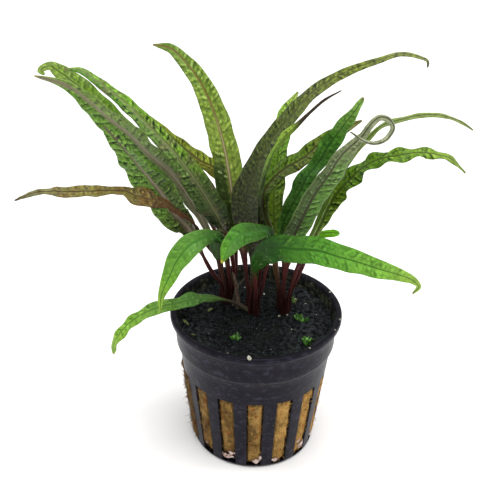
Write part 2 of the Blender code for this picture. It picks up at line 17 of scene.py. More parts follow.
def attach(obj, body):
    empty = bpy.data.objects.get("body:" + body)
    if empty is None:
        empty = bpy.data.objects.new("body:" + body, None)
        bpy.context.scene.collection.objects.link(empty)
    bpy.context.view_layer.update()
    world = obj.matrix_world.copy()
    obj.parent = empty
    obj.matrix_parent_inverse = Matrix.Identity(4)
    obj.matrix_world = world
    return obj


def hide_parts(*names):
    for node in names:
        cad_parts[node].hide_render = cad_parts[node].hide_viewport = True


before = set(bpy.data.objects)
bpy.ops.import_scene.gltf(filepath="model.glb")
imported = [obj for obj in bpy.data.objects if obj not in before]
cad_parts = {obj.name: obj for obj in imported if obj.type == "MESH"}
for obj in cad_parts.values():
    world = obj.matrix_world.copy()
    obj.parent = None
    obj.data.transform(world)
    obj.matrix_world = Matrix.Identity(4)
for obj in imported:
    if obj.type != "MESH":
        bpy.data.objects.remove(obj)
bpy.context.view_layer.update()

bl_info = {
    "name": "Potted Water Trumpet Plant",
    "version": (1, 0, 0),
    "blender": (4, 5, 0),
    "location": "3D View > Sidebar > Water Plant",
    "description": "Grows the plant, its soil, its wool plug and its net pot around the packed solids",
    "category": "Add Mesh",
}

MM = 0.001
TURN = 2 * math.pi

# Net pot, as its solid has it
POT_HEIGHT = 50.0
RIM_RADIUS = 28.0
LIP_HEIGHT = 2.2
STEP_HEIGHT = 39.0
COLLAR_RADIUS = 26.0
COLLAR_TOP_RADIUS = 26.4
WALL_TOP_RADIUS = 25.1
FOOT_RADIUS = 20.3
FOOT_ROUND = 1.6
LIP_ROUND = 0.7
RIM_ROUND = 0.8
INNER_ROUND = 0.5
WALL = 1.0
FLOOR = 1.2
FLOOR_CORNER = 0.8  # how far the corner at the floor is filled
SLOT_COUNT = 15
FIRST_SLOT = -88.7  # degrees from +X
SLOT_HALF_ANGLE = 6.75
SLOT_TOP = 29.0
FOOT_RING_HEIGHT = 0.9
FLOOR_SLOT_INNER = 13.2
FLOOR_SLOT_OUTER = 18.4
SLOT_COLUMNS = 6  # columns of faces across a slot
BAR_COLUMNS = 4  # and across a bar

# Wool plug and soil
PLUG_BOTTOM = 1.5
PLUG_TOP = 42.0
PLUG_SWELL = 1.2  # how far it bulges out on one side
PLUG_SWELL_SIDE = 180.0  # degrees from +X
PLUG_GAP = 0.3  # between the wool and the wall
WOOL_HALF_ANGLE = 6.1  # of the wool in a slot, in degrees
HOLLOW = 3.4  # how far a slot's foot is empty at most
WOOL_COLUMNS = 480
WOOL_STEP = 0.6
SOIL_BOTTOM = 42.3
SOIL_EDGE = 45.2
SOIL_GAP = 0.15  # between the soil and the wall, at the top
SOIL_MOUND = 0.9
SOIL_LUMPS = 0.25
SOIL_COLUMNS = 180
SOIL_RINGS = 64

# Leaves
STALK_THICKNESS = 1.4
BLADE_STEP = 0.42
STALK_STEP = 1.3
ROOT_DEPTH = 1.6  # how far the stalks go on into the soil
FACE_PLACES = (0.3, 0.65, 1.0)  # where along a leaf its face is given
WIDTH_SMOOTHING = 3.0  # how far along a leaf its widths are averaged
STALK_SLIM = 0.14  # how much thinner a stalk is than its route says
FOOT_SWELL = 0.45  # how much thicker its foot is
RIB_SHARES = (0.1, 0.42)  # how far the midrib stands out above and below the blade
LEAF_SEED = 100  # of the first leaf
STALK_SEED = 900  # of the first old stalk
SEED_STEP = 20  # from one to the next
# Places across a leaf: -1 is the left edge, 0 the midrib and 1 the right edge
HALF_ACROSS = (0.04, 0.1, 0.18, 0.28, 0.38, 0.48, 0.58, 0.68, 0.78, 0.87, 0.95, 1.0)
ACROSS = np.array([-s for s in reversed(HALF_ACROSS)] + [0.0] + list(HALF_ACROSS))

# Each leaf's route runs from the soil to the tip as rows of x, y, z and width. face holds the way the
# upper side looks at each of FACE_PLACES. fold is how far each half of the blade is raised, in degrees.
# wave is the height and length of the ripples along the edges.
LEAVES = {
    "mottled_left_leaf": dict(
        route=[(-11.5, 8, 46.3, 1.6), (-11.7, 7.7, 53, 1.5), (-15.5, 6, 61.5, 1.6), (-18.5, 3, 70.5, 2),
               (-21.5, 0.5, 79, 5), (-25.5, -4, 87, 9), (-29, -8, 96, 10), (-32.5, -12, 104, 10.5),
               (-37, -16.5, 113, 9.5), (-40.5, -19, 119.5, 6.5), (-44, -20, 124.5, 0.3)],
        face=[(-0.3, -0.7, 0.7), (-0.3, -0.5, 0.8), (-0.6, -0.7, 0.3)], fold=15, wave=(0.4, 8)),
    "striped_left_leaf": dict(
        route=[(-12.8, 11.5, 46.1, 1.5), (-12.2, 11.4, 54.5, 1.5), (-14.3, 11, 67.5, 1.5),
               (-17.8, 9.8, 77, 3), (-22.5, 7.5, 87.7, 6), (-27.5, 5, 96.7, 8.5), (-33.5, 1.8, 104.4, 11),
               (-38.5, -1.2, 112, 12), (-44.5, -4.5, 119.2, 10.5), (-49.5, -7, 125.5, 7.5),
               (-55, -8, 130.5, 3.5), (-60.5, -8, 132.5, 1.6), (-65, -8, 133.5, 0.3)],
        face=[(-0.3, -0.8, 0.5), (-0.5, -0.8, 0.3), (-0.6, -0.8, 0.2)], fold=15, wave=(0.3, 9)),
    "green_left_leaf": dict(
        route=[(-9, 13, 46.5, 1.5), (-9.5, 12, 56, 1.5), (-10.6, 8.3, 69.4, 2.6), (-11.6, 4.6, 79, 7),
               (-14.7, 2.3, 87, 10), (-20, -0.5, 98, 8), (-26, -0.5, 106.5, 5.5), (-32, 1, 112.5, 5),
               (-40, 3, 120, 4.5), (-49, 5, 126.5, 3), (-53.5, 6.5, 129, 2.2), (-59, 7, 129.5, 0.3)],
        face=[(-0.4, -0.75, 0.5), (-0.3, -0.4, 0.8), (-0.1, -0.3, 0.9)], fold=15, wave=(0.4, 8)),
    "hooked_left_leaf": dict(
        route=[(-13.4, 14.3, 46, 1.4), (-12, 15, 57, 1.3), (-14.5, 14.5, 71.5, 1.5), (-25.5, 13, 87, 3),
               (-38, 12.5, 102.5, 4.5), (-49, 12.5, 114.5, 5), (-57.5, 15, 121.5, 5), (-62, 16, 124.5, 4),
               (-65, 16, 126.3, 2.6), (-67.3, 14.5, 125.5, 1.8), (-66, 13, 124.8, 0.4)],
        face=[(0, -0.7, 0.7), (0, -0.7, 0.7), (0.1, -0.6, 0.8)], fold=12, wave=(0.3, 9)),
    "yellow_left_leaf": dict(
        route=[(-6.5, 14, 46.2, 1.4), (-7, 15, 59, 1.3), (-8.5, 15.5, 77, 3), (-11, 16, 88, 5.5),
               (-14.5, 17.5, 92, 6.5), (-18.5, 19.5, 93, 6.5), (-24.5, 23, 96, 5), (-31, 25, 101, 3),
               (-36, 26, 106, 0.3)],
        face=[(0, -0.5, 0.9), (0, -0.4, 0.9), (0, -0.5, 0.9)], fold=15, wave=(0.4, 7)),
    "withered_leaf": dict(
        route=[(-9.2, 8, 46.3, 1.3), (-10.5, 6.1, 55.5, 1.3), (-13, 3.9, 67, 1.4), (-16.5, 1.1, 73.8, 1.6),
               (-18.4, -4, 81, 2), (-20.6, -9, 87.8, 2.4), (-25, -14.4, 94.4, 2.8), (-29, -17.3, 98.7, 4),
               (-31.5, -18.7, 100.1, 6.3), (-35, -19.3, 101.3, 7.3), (-39, -18.5, 102.5, 2.6),
               (-43.5, -17.8, 102.1, 3.4), (-54.5, -17, 101, 4), (-65, -16, 100, 1.8),
               (-72.5, -14, 96, 0.4)],
        face=[(0, -0.5, 0.9), (0, -0.5, 0.9), (0, -0.7, 0.7)], fold=8, wave=(0.3, 6)),
    "tall_yellow_green_leaf": dict(
        route=[(-3.5, 5, 46.6, 1.6), (-3, 5.5, 54, 1.6), (-3.4, 5.6, 59, 2), (-4, 5.7, 64.5, 4),
               (-5, 5.5, 72, 6.8), (-6.5, 5.5, 79.2, 8.8), (-8.5, 6.3, 90.3, 10), (-11, 11, 102, 9),
               (-14, 16, 110.5, 8), (-19, 21, 120, 6.3), (-23.5, 24, 125, 5), (-28.5, 27, 128.5, 3),
               (-34.5, 29, 129, 0.3)],
        face=[(-0.4, -0.7, 0.5), (-0.1, -0.7, 0.7), (-0.1, -0.8, 0.6)], fold=14, wave=(0.3, 8)),
    "long_arching_leaf": dict(
        route=[(-1.4, 1.5, 46.6, 1.5), (-1.4, 0.5, 56.5, 1.5), (-1, -1, 68.5, 2.4), (-1.7, -2.5, 79, 6.6),
               (-3.4, -3.5, 86.5, 9), (-4, -3.5, 94, 8.6), (-2, -4.5, 101, 7.6), (2, -6, 111.5, 6.5),
               (8, -8, 122, 5.8), (16, -9.5, 132.3, 4), (24, -10.5, 138, 3), (32.5, -11, 141.8, 2),
               (38, -10.5, 143.5, 1.6), (43.5, -10, 142.6, 1.2), (46.2, -9, 140.8, 0.9),
               (46.3, -9, 139, 0.3)],
        face=[(-0.5, -0.7, 0.5), (-0.5, -0.5, 0.7), (-0.2, -0.6, 0.8)], fold=15, wave=(0.6, 9)),
    "bright_back_leaf": dict(
        route=[(6.3, 8.6, 46.5, 1.4), (6.3, 9, 55, 1.3), (5.5, 9.5, 63.5, 1.6), (5.5, 10.5, 72.5, 4),
               (5, 12, 85, 7.5), (5.5, 14.5, 94.5, 8.5), (6.5, 17.5, 104, 8), (8, 20.5, 110.5, 5.5),
               (11.5, 24, 116.5, 0.3)],
        face=[(-0.3, -0.7, 0.6), (-0.5, -0.6, 0.4), (-0.6, -0.6, 0.5)], fold=15, wave=(0.3, 8)),
    "folded_narrow_leaf": dict(
        route=[(0.6, 3.4, 46.5, 1.3), (0.7, 2.2, 59, 1.3), (1.7, -3.2, 72.4, 1.4), (1.35, -6.1, 79.2, 2),
               (0.7, -7.1, 85, 2.4), (0.1, -8.2, 94.7, 2.4), (0.8, -9.5, 102.8, 2.8),
               (3.6, -11.5, 113.2, 3.6), (6, -12.5, 117.6, 4), (10, -12.5, 121.8, 2.6),
               (13.5, -12.3, 125.7, 1.6), (18, -12, 130, 1.3), (22.5, -12, 133, 0.4)],
        face=[(0.2, -0.8, 0.6), (0.7, -0.5, 0.6), (0.4, -0.4, 0.8)], fold=40, wave=(0.2, 8)),
    "olive_leaf": dict(
        route=[(7.3, 6, 46.6, 1.3), (7, 5.8, 56, 1.3), (6, 5, 66, 1.3), (4, 4, 77, 1.8),
               (1.5, 3.5, 85.5, 3), (1.5, 3, 91.5, 4.5), (4, 4, 95.5, 5.5), (8, 4, 99.5, 6),
               (13, 4, 103, 6), (18.5, 5, 108, 5.5), (25, 6, 112, 3.5), (30.5, 6, 115.5, 0.3)],
        face=[(-0.2, -0.5, 0.8), (0, -0.5, 0.8), (0, -0.6, 0.8)], fold=15, wave=(0.4, 8)),
    "dark_green_leaf": dict(
        route=[(9.6, 6, 46.2, 1.6), (9, 5.5, 56, 1.5), (8.5, 4, 65.5, 1.5), (8, 2, 73.5, 2),
               (7.5, 1.5, 79, 3.5), (9.5, 0.5, 86.5, 5), (12.5, 0, 93.5, 6.5), (14.5, -0.5, 99, 6),
               (17.5, -1, 104, 5), (20, -2.5, 110.5, 5.8), (22, -2.5, 114, 5.8), (25, -4, 120, 4.6),
               (27.5, -4, 124, 3), (29.5, -4, 127.5, 0.3)],
        face=[(0, -0.6, 0.8), (0, -0.5, 0.8), (0.6, -0.7, 0.4)], fold=15, wave=(0.6, 10)),
    "curled_tip_leaf": dict(
        route=[(8.6, 2.8, 46.4, 1.6), (8.5, 1.5, 57, 1.6), (9.4, -2, 69.5, 4), (11, -5, 81, 6.8),
               (13.2, -7, 88.5, 7.4), (16, -9, 97, 7.4), (20, -11, 105.5, 7.6), (23.5, -12.5, 113, 6.2),
               (27, -13, 117.5, 3.6), (28.8, -13.5, 119.8, 2.8), (31, -13.5, 123.4, 2.4),
               (33.5, -12.3, 125.2, 1.8), (36.6, -11.3, 124, 1.7), (38, -11, 121.3, 1.7),
               (36.6, -12.2, 118.8, 1.6), (33.5, -14.6, 118, 1.4), (30, -16.8, 119.3, 1),
               (25, -17.8, 123, 0.4)],
        face=[(0.3, -0.9, 0.4), (0.5, -0.8, 0.3), (0.2, -0.9, 0.3)], fold=12, wave=(0.2, 8)),
    "whip_leaf": dict(
        route=[(10.6, 1.2, 46.6, 1.2), (11, 0.4, 57.5, 1.2), (13.7, -1, 70.2, 1.3), (17, -3.3, 81.5, 1.8),
               (20.5, -5, 93.2, 2.2), (24, -5.8, 103.5, 2.4), (28, -6.5, 111, 2.2), (31, -6.5, 115, 2),
               (36, -5, 119.5, 1.8), (40.5, -3, 120, 2), (45.5, -1, 120.5, 2), (53, 2, 119.5, 1.6),
               (60, 4, 116.5, 1.1), (64, 5, 113.5, 0.4)],
        face=[(0, -0.7, 0.7), (0, -0.7, 0.7), (0, -0.7, 0.7)], fold=10, wave=(0.2, 8)),
    "ruffled_leaf": dict(
        route=[(11.9, 3.3, 46.4, 1.4), (11.3, 2.8, 53, 1.3), (12.6, 1.6, 59.5, 1.3), (15.2, 0.8, 68.5, 1.4),
               (17.7, 0.3, 77.5, 1.8), (19.3, 0, 82, 3), (21.3, 0, 88, 6.2), (24, -0.5, 94, 7),
               (27.3, -1.5, 98.8, 6.8), (31.5, -3, 104.5, 6.4), (35.5, -4, 107.5, 6),
               (40.5, -4.5, 109, 5.4), (47, -4, 110, 4.4), (52, -4, 109.5, 3.6), (56.5, -3, 107.8, 2.4),
               (62, -2, 102.5, 0.3)],
        face=[(0.3, -0.5, 0.8), (0.1, -0.4, 0.9), (0.1, -0.5, 0.8)], fold=10, wave=(1.0, 8)),
    "small_lime_leaf": dict(
        route=[(12.6, 8, 46.2, 1.2), (12.6, 8.2, 55, 1.2), (14.3, 8, 64, 1.2), (16.7, 6.8, 72, 1.4),
               (19, 5.8, 75, 2.4), (21.5, 5, 76, 3.4), (24, 4.4, 76.6, 3.4), (26, 4, 76.8, 2.4)],
        face=[(0, -0.4, 0.9), (0, -0.3, 1), (0, -0.3, 1)], fold=8, wave=(0, 8)),
    "broad_front_leaf": dict(
        route=[(1.4, -0.4, 46.7, 1.5), (0, -2.2, 58, 1.4), (-0.8, -5.2, 67.5, 1.6), (0.5, -8.8, 73.5, 5),
               (2.8, -11.3, 78.3, 7.6), (6.2, -12.5, 81, 9), (11.5, -14.5, 82, 8.5), (18, -15.5, 82.3, 9),
               (24, -17, 81.3, 8.2), (30.5, -18, 80, 7.2), (36.5, -19, 78.5, 6), (43, -19, 76.5, 4),
               (47, -18.5, 74.5, 2.6), (49, -18, 72, 1.6), (47.5, -17, 68.5, 0.4)],
        face=[(-0.1, -0.9, 0.3), (-0.1, -0.9, 0.4), (-0.3, -0.8, 0.3)], fold=15, wave=(0.4, 9)),
    "small_front_leaf": dict(
        route=[(2.2, 1.4, 46.7, 1.3), (1.9, 0, 58.5, 1.3), (3.5, -2.2, 70, 1.3), (4.3, -4.4, 77.5, 1.8),
               (3, -7.6, 83.3, 3.6), (-1.5, -14, 87, 6), (-6, -18.3, 88, 6.8), (-9, -23, 86, 5),
               (-10.5, -26.5, 83.6, 0.4)],
        face=[(-0.1, -0.8, 0.5), (-0.1, -0.7, 0.6), (0.3, -0.8, 0.5)], fold=18, wave=(0.2, 8)),
    "drooping_left_leaf": dict(
        route=[(-8, 9.8, 46.4, 1.4), (-8.6, 7.2, 54, 1.3), (-9.5, 2, 66.5, 1.5), (-11.3, -4.2, 78.2, 3),
               (-14.5, -8.7, 82.2, 4.4), (-17.5, -12, 83, 6), (-20.5, -14.5, 82.3, 7.2),
               (-23.5, -16.5, 79.3, 7), (-26.5, -17.5, 73, 5), (-29, -18, 66.5, 2.4),
               (-29.7, -17, 59.5, 0.4)],
        face=[(-0.1, -0.7, 0.6), (-0.2, -0.9, 0.3), (0, -1, 0.2)], fold=14, wave=(0.3, 9)),
    "leaf_over_rim": dict(
        route=[(-2.6, 2.6, 47.2, 1.4), (-7, 3.5, 49.2, 1.5), (-11, 3.5, 50.6, 1.5), (-16.5, 2, 52.2, 3),
               (-20.5, 0, 52.8, 4.6), (-26, -3.3, 53.3, 5), (-31.5, -6, 53.4, 4.6),
               (-37.5, -8.4, 51.4, 4.2), (-41, -9.3, 48.6, 4), (-43.7, -9.7, 45, 3.8), (-45.5, -9.5, 41, 3),
               (-46, -9, 37, 0.6)],
        face=[(0, -0.6, 0.8), (-0.1, -0.6, 0.8), (-0.6, -0.6, 0.5)], fold=12, wave=(0.6, 7)),
    "small_dark_leaf": dict(
        route=[(-6.5, 10.7, 46.5, 1.2), (-7, 8.8, 53, 1.2), (-8, 6.6, 64.2, 1.6), (-9.3, 3.2, 73.8, 1.8),
               (-10.1, 1.8, 76.8, 1.6), (-11.6, 0.9, 78.7, 1.8), (-13.1, 0.3, 77.4, 2.8),
               (-13.6, 0.3, 74.3, 4.2), (-13.1, 0.3, 71, 3), (-12.6, 0.4, 67.8, 0.4)],
        face=[(-0.3, -0.8, 0.6), (-0.4, -0.8, 0.5), (-0.2, -1, 0.2)], fold=8, wave=(0, 8)),
}

# The looks that leaves share. shades run from the blade's start to its tip, and halves tint one side of
# the blade: a side (-1 left, 1 right), a colour, its strength, and from where to where along the blade.
# patchy, dapple and grain are the strengths of broad, small and the finest spots. depth is that of the
# painted shade in the creases, which is partly their own darker colour, and shine that of the painted
# highlights on the ridges; crease and light are their colours, and crease also darkens the small spots.
# rib_core is where along the blade the midrib's pale core ends, and band the strength of a strip beside it.
# bumps is the height of the swellings between the veins, and how long and wide they are. ragged frays the
# edges, crumple makes the blade uneven without order, ripple scales the wave of the edges, and blunt is how
# full the tip is. late is how far up the blade the green starts. sides widens or narrows the left and right
# half, first at the blade's start, then at its tip. gloom paints shade on the foot of the blade up to
# foot_shade_end, by foot_shade_low of that between its darkest spots. pull is how far a stalk's foot leans
# into its crown. stalk_low is the darker foot of a stalk, partly painted shade among the crowns, and
# stalk_light its pale streaks, which are partly painted highlights.
PLAIN_SKIN = dict(
    shades=("#4a5a26", "#5f7a30", "#6d8c3c", "#7a9a48"), halves=(), crease="#1c2e0c", light="#a9c070",
    patch="#56702b", patchy=0.35, dapple=0.35, depth=0.75, shine=0.7, rib="#5d6a3c", rib_dark="#36401f",
    rib_width=0.45, rib_strength=0.8, rib_core=0.6, band=0.0, band_colour="#6d7050", band_width=1.6,
    edge="#3a4a1e", edge_strength=0.3, tip="#77744a", tip_from=(0.975, 1.0), under="#7c8c58",
    under_strength=0.35, bumps=(0.34, 2.2, 2.0), ragged=0.05, crumple=0.05, arch=0.06, ripple=1.0,
    blunt=1.5, late=0.0, sides=(1.0, 1.0, 1.0, 1.0), grain=0.6, foot_shade=0.55, foot_shade_end=0.22, foot_shade_low=0.6,
    pull=0.5, stalk_low="#3a2220", stalk="#5c3432", stalk_light="#94706a",
)

# What sets each leaf apart. The darkest first shades of the tall, folded and green left leaves
# are partly painted shade, where the leaves around them shadow their feet.
SKINS = {
    # the dark tint on the mottled leaf's right half is painted shade on that raised half, and its pale edges
    # are partly a painted highlight
    "mottled_left_leaf": dict(
        shades=("#2a241a", "#4a522a", "#60763a", "#688a3e", "#6c8e3a"),
        halves=((1, "#3c4c26", 0.5, 0.1, 0.7), (-1, "#789e46", 0.5, 0.35, 1.0)), crease="#1c2c12",
        light="#a3c87a", patch="#465a2a", dapple=0.55, depth=0.9, shine=1.0, rib="#968c7a",
        rib_dark="#66544c", rib_width=1.25, rib_core=0.8, band=0.35, band_colour="#76705c", edge="#8fae62",
        edge_strength=0.25, tip="#5f7a34", bumps=(0.5, 2.8, 2.6), late=5.0, sides=(1.2, 1.0, 1.15, 1.0),
        grain=0.75),
    "striped_left_leaf": dict(
        shades=("#666e48", "#606a48", "#76844e", "#8a9c54", "#84a244"),
        halves=((-1, "#6f9c3c", 0.8, 0.25, 1.0), (1, "#7c9a48", 0.6, 0.4, 0.95)), crease="#3c4a2c",
        light="#b3bc8c", patch="#5c7040", dapple=0.45, shine=0.8, rib="#b3aa92", rib_dark="#77695a",
        rib_width=0.55, rib_core=0.9, band=0.8, band_colour="#8f8b74", band_width=1.9, edge="#a3bc7c",
        edge_strength=0.6, tip="#b3a878", bumps=(0.3, 2.8, 2.4), sides=(1.0, 0.9, 1.0, 1.0), grain=0.75,
        foot_shade=0.2),
    "green_left_leaf": dict(
        shades=("#1c1a14", "#36422a", "#587034", "#749444", "#769c3a"),
        halves=((-1, "#4c7a24", 0.8, 0.75, 1.0), (-1, "#6c8450", 0.5, 0.3, 0.75),
                (1, "#86b040", 0.6, 0.45, 1.0)), crease="#26361a", light="#b3cc80", patch="#6a5c4e",
        patchy=0.6, dapple=0.45, depth=0.85, shine=0.8, rib="#949a70", rib_dark="#5c6440", rib_core=0.9,
        band=0.3, band_colour="#8a8a68", bumps=(0.44, 2.6, 2.2), sides=(1.05, 1.0, 1.1, 1.05)),
    "hooked_left_leaf": dict(
        shades=("#4c5834", "#5c7040", "#648034", "#6c8a30", "#84984a"), crease="#3c5420", light="#a8be80",
        patch="#5f6a50", dapple=0.2, depth=0.4, rib="#84876f", rib_width=0.5, tip="#6f8a3a",
        bumps=(0.2, 2.2, 1.6), sides=(1.0, 1.35, 1.1, 1.3), foot_shade=0.0),
    "yellow_left_leaf": dict(
        shades=("#4c4a14", "#5c5a18", "#84862c", "#606a1e", "#768638"),
        halves=((-1, "#505018", 0.5, -0.1, 1.0), (1, "#96a83c", 0.5, -0.1, 1.0)), crease="#3c4010",
        light="#b3bc58", patch="#5c5020", depth=0.8, shine=0.8, rib="#4a3020", rib_dark="#38241a",
        rib_width=0.5, edge="#4a3a20", edge_strength=0.4, bumps=(0.34, 2.4, 2.2)),
    "withered_leaf": dict(
        shades=("#22160f", "#30221a", "#443422", "#665e30", "#7c7440", "#86804a", "#86845c", "#72704a"),
        halves=((-1, "#4c2e26", 0.6, 0.24, 0.46), (1, "#40261f", 0.6, 0.2, 0.44)), crease="#33221a",
        light="#a89a60", patch="#6a4028", patchy=0.4, depth=0.6, shine=0.6, rib="#5c4a30",
        rib_dark="#38261c", edge="#4a2c1c", tip="#2c241a", under="#5a4630", bumps=(0.22, 2.4, 1.6),
        ragged=0.16, crumple=0.28, ripple=0.6, stalk="#5a4236", stalk_light="#8f7460"),
    "tall_yellow_green_leaf": dict(
        shades=("#1a1812", "#505c2c", "#7e8e44", "#86984a", "#7e9446", "#6e8440"),
        halves=((-1, "#2e3822", 0.9, -0.1, 0.5), (1, "#17140f", 0.9, -0.1, 0.14)), crease="#3e561e",
        light="#c0cf92", patch="#68862c", dapple=0.45, depth=0.5, shine=1.0, rib="#b0a68c",
        rib_dark="#76603c", rib_width=0.7, rib_core=0.62, band=0.25, band_colour="#7a7050", band_width=0.9,
        bumps=(0.42, 2.7, 3.0), late=14.0),
    "long_arching_leaf": dict(
        shades=("#4a4c2c", "#4a5030", "#4c5630", "#5c6832", "#76823e", "#8c925c"), crease="#20281a",
        light="#a3ae78", patch="#454c2e", dapple=0.7, depth=0.7, shine=0.5, rib="#4c4e34",
        rib_dark="#33301f", rib_strength=0.6, tip="#4a3a24", under="#5c6440", bumps=(0.22, 2.6, 2.0),
        ragged=0.02, ripple=0.3, sides=(1.25, 2.0, 0.95, 0.85), grain=0.9, foot_shade=0.9, foot_shade_end=0.55,
        foot_shade_low=0.35),
    "bright_back_leaf": dict(
        shades=("#6a7c2a", "#72882c", "#6c8434", "#76a23c", "#a6b860"), crease="#34500f", light="#b0cc68",
        patch="#4c7020", rib="#64743a", rib_dark="#40581f", bumps=(0.36, 2.4, 2.4), foot_shade=0.0,
        stalk="#7c6c44", stalk_light="#b0a478"),
    "folded_narrow_leaf": dict(
        shades=("#0a0908", "#0c0a08", "#0e0e0a", "#304616", "#8ab046", "#9cb850", "#4a4630", "#3a3222"),
        halves=((1, "#3a4a1f", 0.65, 0.3, 0.85),), crease="#2a3414", light="#a8c468", patch="#5c7a2c",
        patchy=0.2, rib="#4a5c28", rib_dark="#3c4420", rib_width=0.3, edge="#5a6c30", tip="#3c3428",
        tip_from=(0.73, 0.79), bumps=(0.16, 2.2, 1.6), sides=(1.7, 1.0, 0.6, 0.6), foot_shade=0.2),
    "olive_leaf": dict(
        shades=("#4c5a2c", "#56682f", "#50622d", "#687436", "#8a8e54"),
        halves=((-1, "#66882f", 0.5, 0.2, 0.9),), crease="#2a300f", light="#9aa858", patch="#544a24",
        rib="#44341f", rib_dark="#33241a", edge="#2a3410", edge_strength=0.5, bumps=(0.34, 2.3, 2.2),
        foot_shade=0.3, stalk="#846650", stalk_light="#c4a88c"),
    "dark_green_leaf": dict(
        shades=("#66883a", "#4e7430", "#4a7434", "#5a8c36", "#a0c86a"), crease="#16300f", light="#8cb464",
        patch="#28501f", dapple=0.25, depth=0.4, shine=0.4, rib="#3c602c", rib_dark="#284418",
        bumps=(0.4, 2.4, 2.2), blunt=3.0, grain=0.45, foot_shade=0.0),
    "curled_tip_leaf": dict(
        shades=("#362824", "#40581e", "#36561c", "#52683a", "#98a07c", "#a6ac90", "#a6ac90"),
        halves=((-1, "#56623f", 0.5, 0.05, 0.6), (1, "#76a050", 0.6, 0.0, 0.6)), crease="#344420",
        light="#b4c89c", patch="#54643c", rib="#44302c", rib_dark="#2c1f1c", rib_width=0.55,
        edge="#a3b080", edge_strength=0.5, under="#6a8058", under_strength=0.5, bumps=(0.3, 2.4, 2.2),
        late=14.0, sides=(1.2, 1.1, 0.6, 1.3)),
    "whip_leaf": dict(
        shades=("#7c9444", "#5c7a26", "#8a9a5c", "#8a9a5c", "#9aa26a"), crease="#44521f", light="#b4c48a",
        patch="#5a7a2c", rib="#5c7a34", bumps=(0.12, 2.0, 1.4), ragged=0.16, sides=(0.8, 0.8, 0.9, 0.9),
        foot_shade=0.0),
    "ruffled_leaf": dict(
        shades=("#7a9040", "#688226", "#5e8028", "#7c983e", "#94aa58"), crease="#28400f", light="#b4cc78",
        patch="#44681c", depth=0.85, shine=0.8, rib="#4a5a24", rib_dark="#363a18", edge="#3c5014",
        bumps=(0.44, 2.2, 2.2), ragged=0.1, ripple=1.1, sides=(0.9, 0.9, 0.9, 0.9), foot_shade=0.0),
    "small_lime_leaf": dict(
        shades=("#78a828", "#70ac1a", "#76b020"), crease="#44740c", light="#9cd058", patch="#5c9418",
        rib="#5c8420", under="#6ca41c", bumps=(0.12, 1.8, 1.6), foot_shade=0.0),
    "broad_front_leaf": dict(
        shades=("#2e4c1c", "#284a1c", "#669e3e", "#8aba52", "#b4cc68"), crease="#1c3a10", light="#a8d078",
        patch="#346420", dapple=0.2, depth=0.4, shine=0.3, rib="#2c501c", rib_dark="#24441a",
        rib_strength=0.7, under="#34582a", bumps=(0.26, 2.6, 2.4), grain=0.4, foot_shade=0.1),
    "small_front_leaf": dict(
        shades=("#24381c", "#2c481e", "#487030", "#508230", "#66942e"),
        halves=((-1, "#2e5020", 0.4, 0.2, 1.1), (1, "#2e4c22", 0.4, 0.25, 0.6)), crease="#284818",
        light="#9cc470", patch="#3c6a2c", dapple=0.15, depth=0.4, shine=0.35, rib="#4a7438",
        rib_dark="#3c6a30", edge="#9aa848", edge_strength=0.15, tip="#c0b048", tip_from=(0.955, 1.0),
        bumps=(0.2, 2.4, 2.2), blunt=0.9, grain=0.35),
    "drooping_left_leaf": dict(
        shades=("#1c2e16", "#22381a", "#689448", "#7cac44", "#a8c450"), crease="#2c5018", light="#a8d080",
        patch="#4a7c30", dapple=0.12, depth=0.25, shine=0.25, rib="#4a7c38", rib_dark="#3a6a2c",
        edge="#8aa850", tip="#b8b848", bumps=(0.26, 2.4, 2.2), blunt=1.0, grain=0.3),
    "leaf_over_rim": dict(
        shades=("#4c5638", "#6a9450", "#8cb458", "#90b84a", "#98b44c"), crease="#34601f", light="#b8d888",
        patch="#4c8030", dapple=0.2, depth=0.5, shine=0.4, rib="#688c44", rib_dark="#4a7430",
        tip="#8a8434", bumps=(0.26, 2.0, 1.8), ragged=0.22, grain=0.45, foot_shade=0.0, stalk_low="#4a4438",
        stalk="#6a6450", stalk_light="#a39a80"),
    "small_dark_leaf": dict(
        shades=("#34442a", "#3c5230", "#3a502e", "#384a2c"), crease="#1f2c18", light="#5c8050",
        patch="#2c4424", depth=0.4, shine=0.3, rib="#547048", rib_dark="#3a5430", bumps=(0.1, 1.8, 1.6),
        foot_shade=0.0),
}

# Where the three crowns stand in the soil
CROWNS = np.array([(-9.0, 9.8), (-2.2, 4.8), (8.8, 4.6)])
MOST_PULL = 2.2  # how far a stalk's foot moves towards its crown at most

# The dead stalks: their dark and pale colours and their routes
OLD_STALKS = {
    "old_stalk_tan": ("#3a2c26", "#8c7c6c", [
        (-5.9, 5.7, 46.5, 1.2), (-6.7, 5.3, 55, 1.2), (-7.8, 5.1, 60.5, 0.5)]),
    "old_stalk_grey": ("#221d1a", "#6d6a5c", [
        (-7.3, 7, 46.6, 1), (-6.6, 7.1, 53, 0.9), (-2.9, 7.8, 58, 0.5)]),
}

# Tufts of green sprouts, as x, y, radius and height
MOSS_TUFTS = {
    "moss_tuft_left": (-5.7, -12, 0.9, 3.7),
    "moss_tuft_front": (16.4, -13.6, 1.5, 6.4),
    "moss_tuft_right": (15.1, -0.6, 1.7, 3.8),
}
MOSS_SPRIG = (12.3, 10.6, 1.0, 2.2)

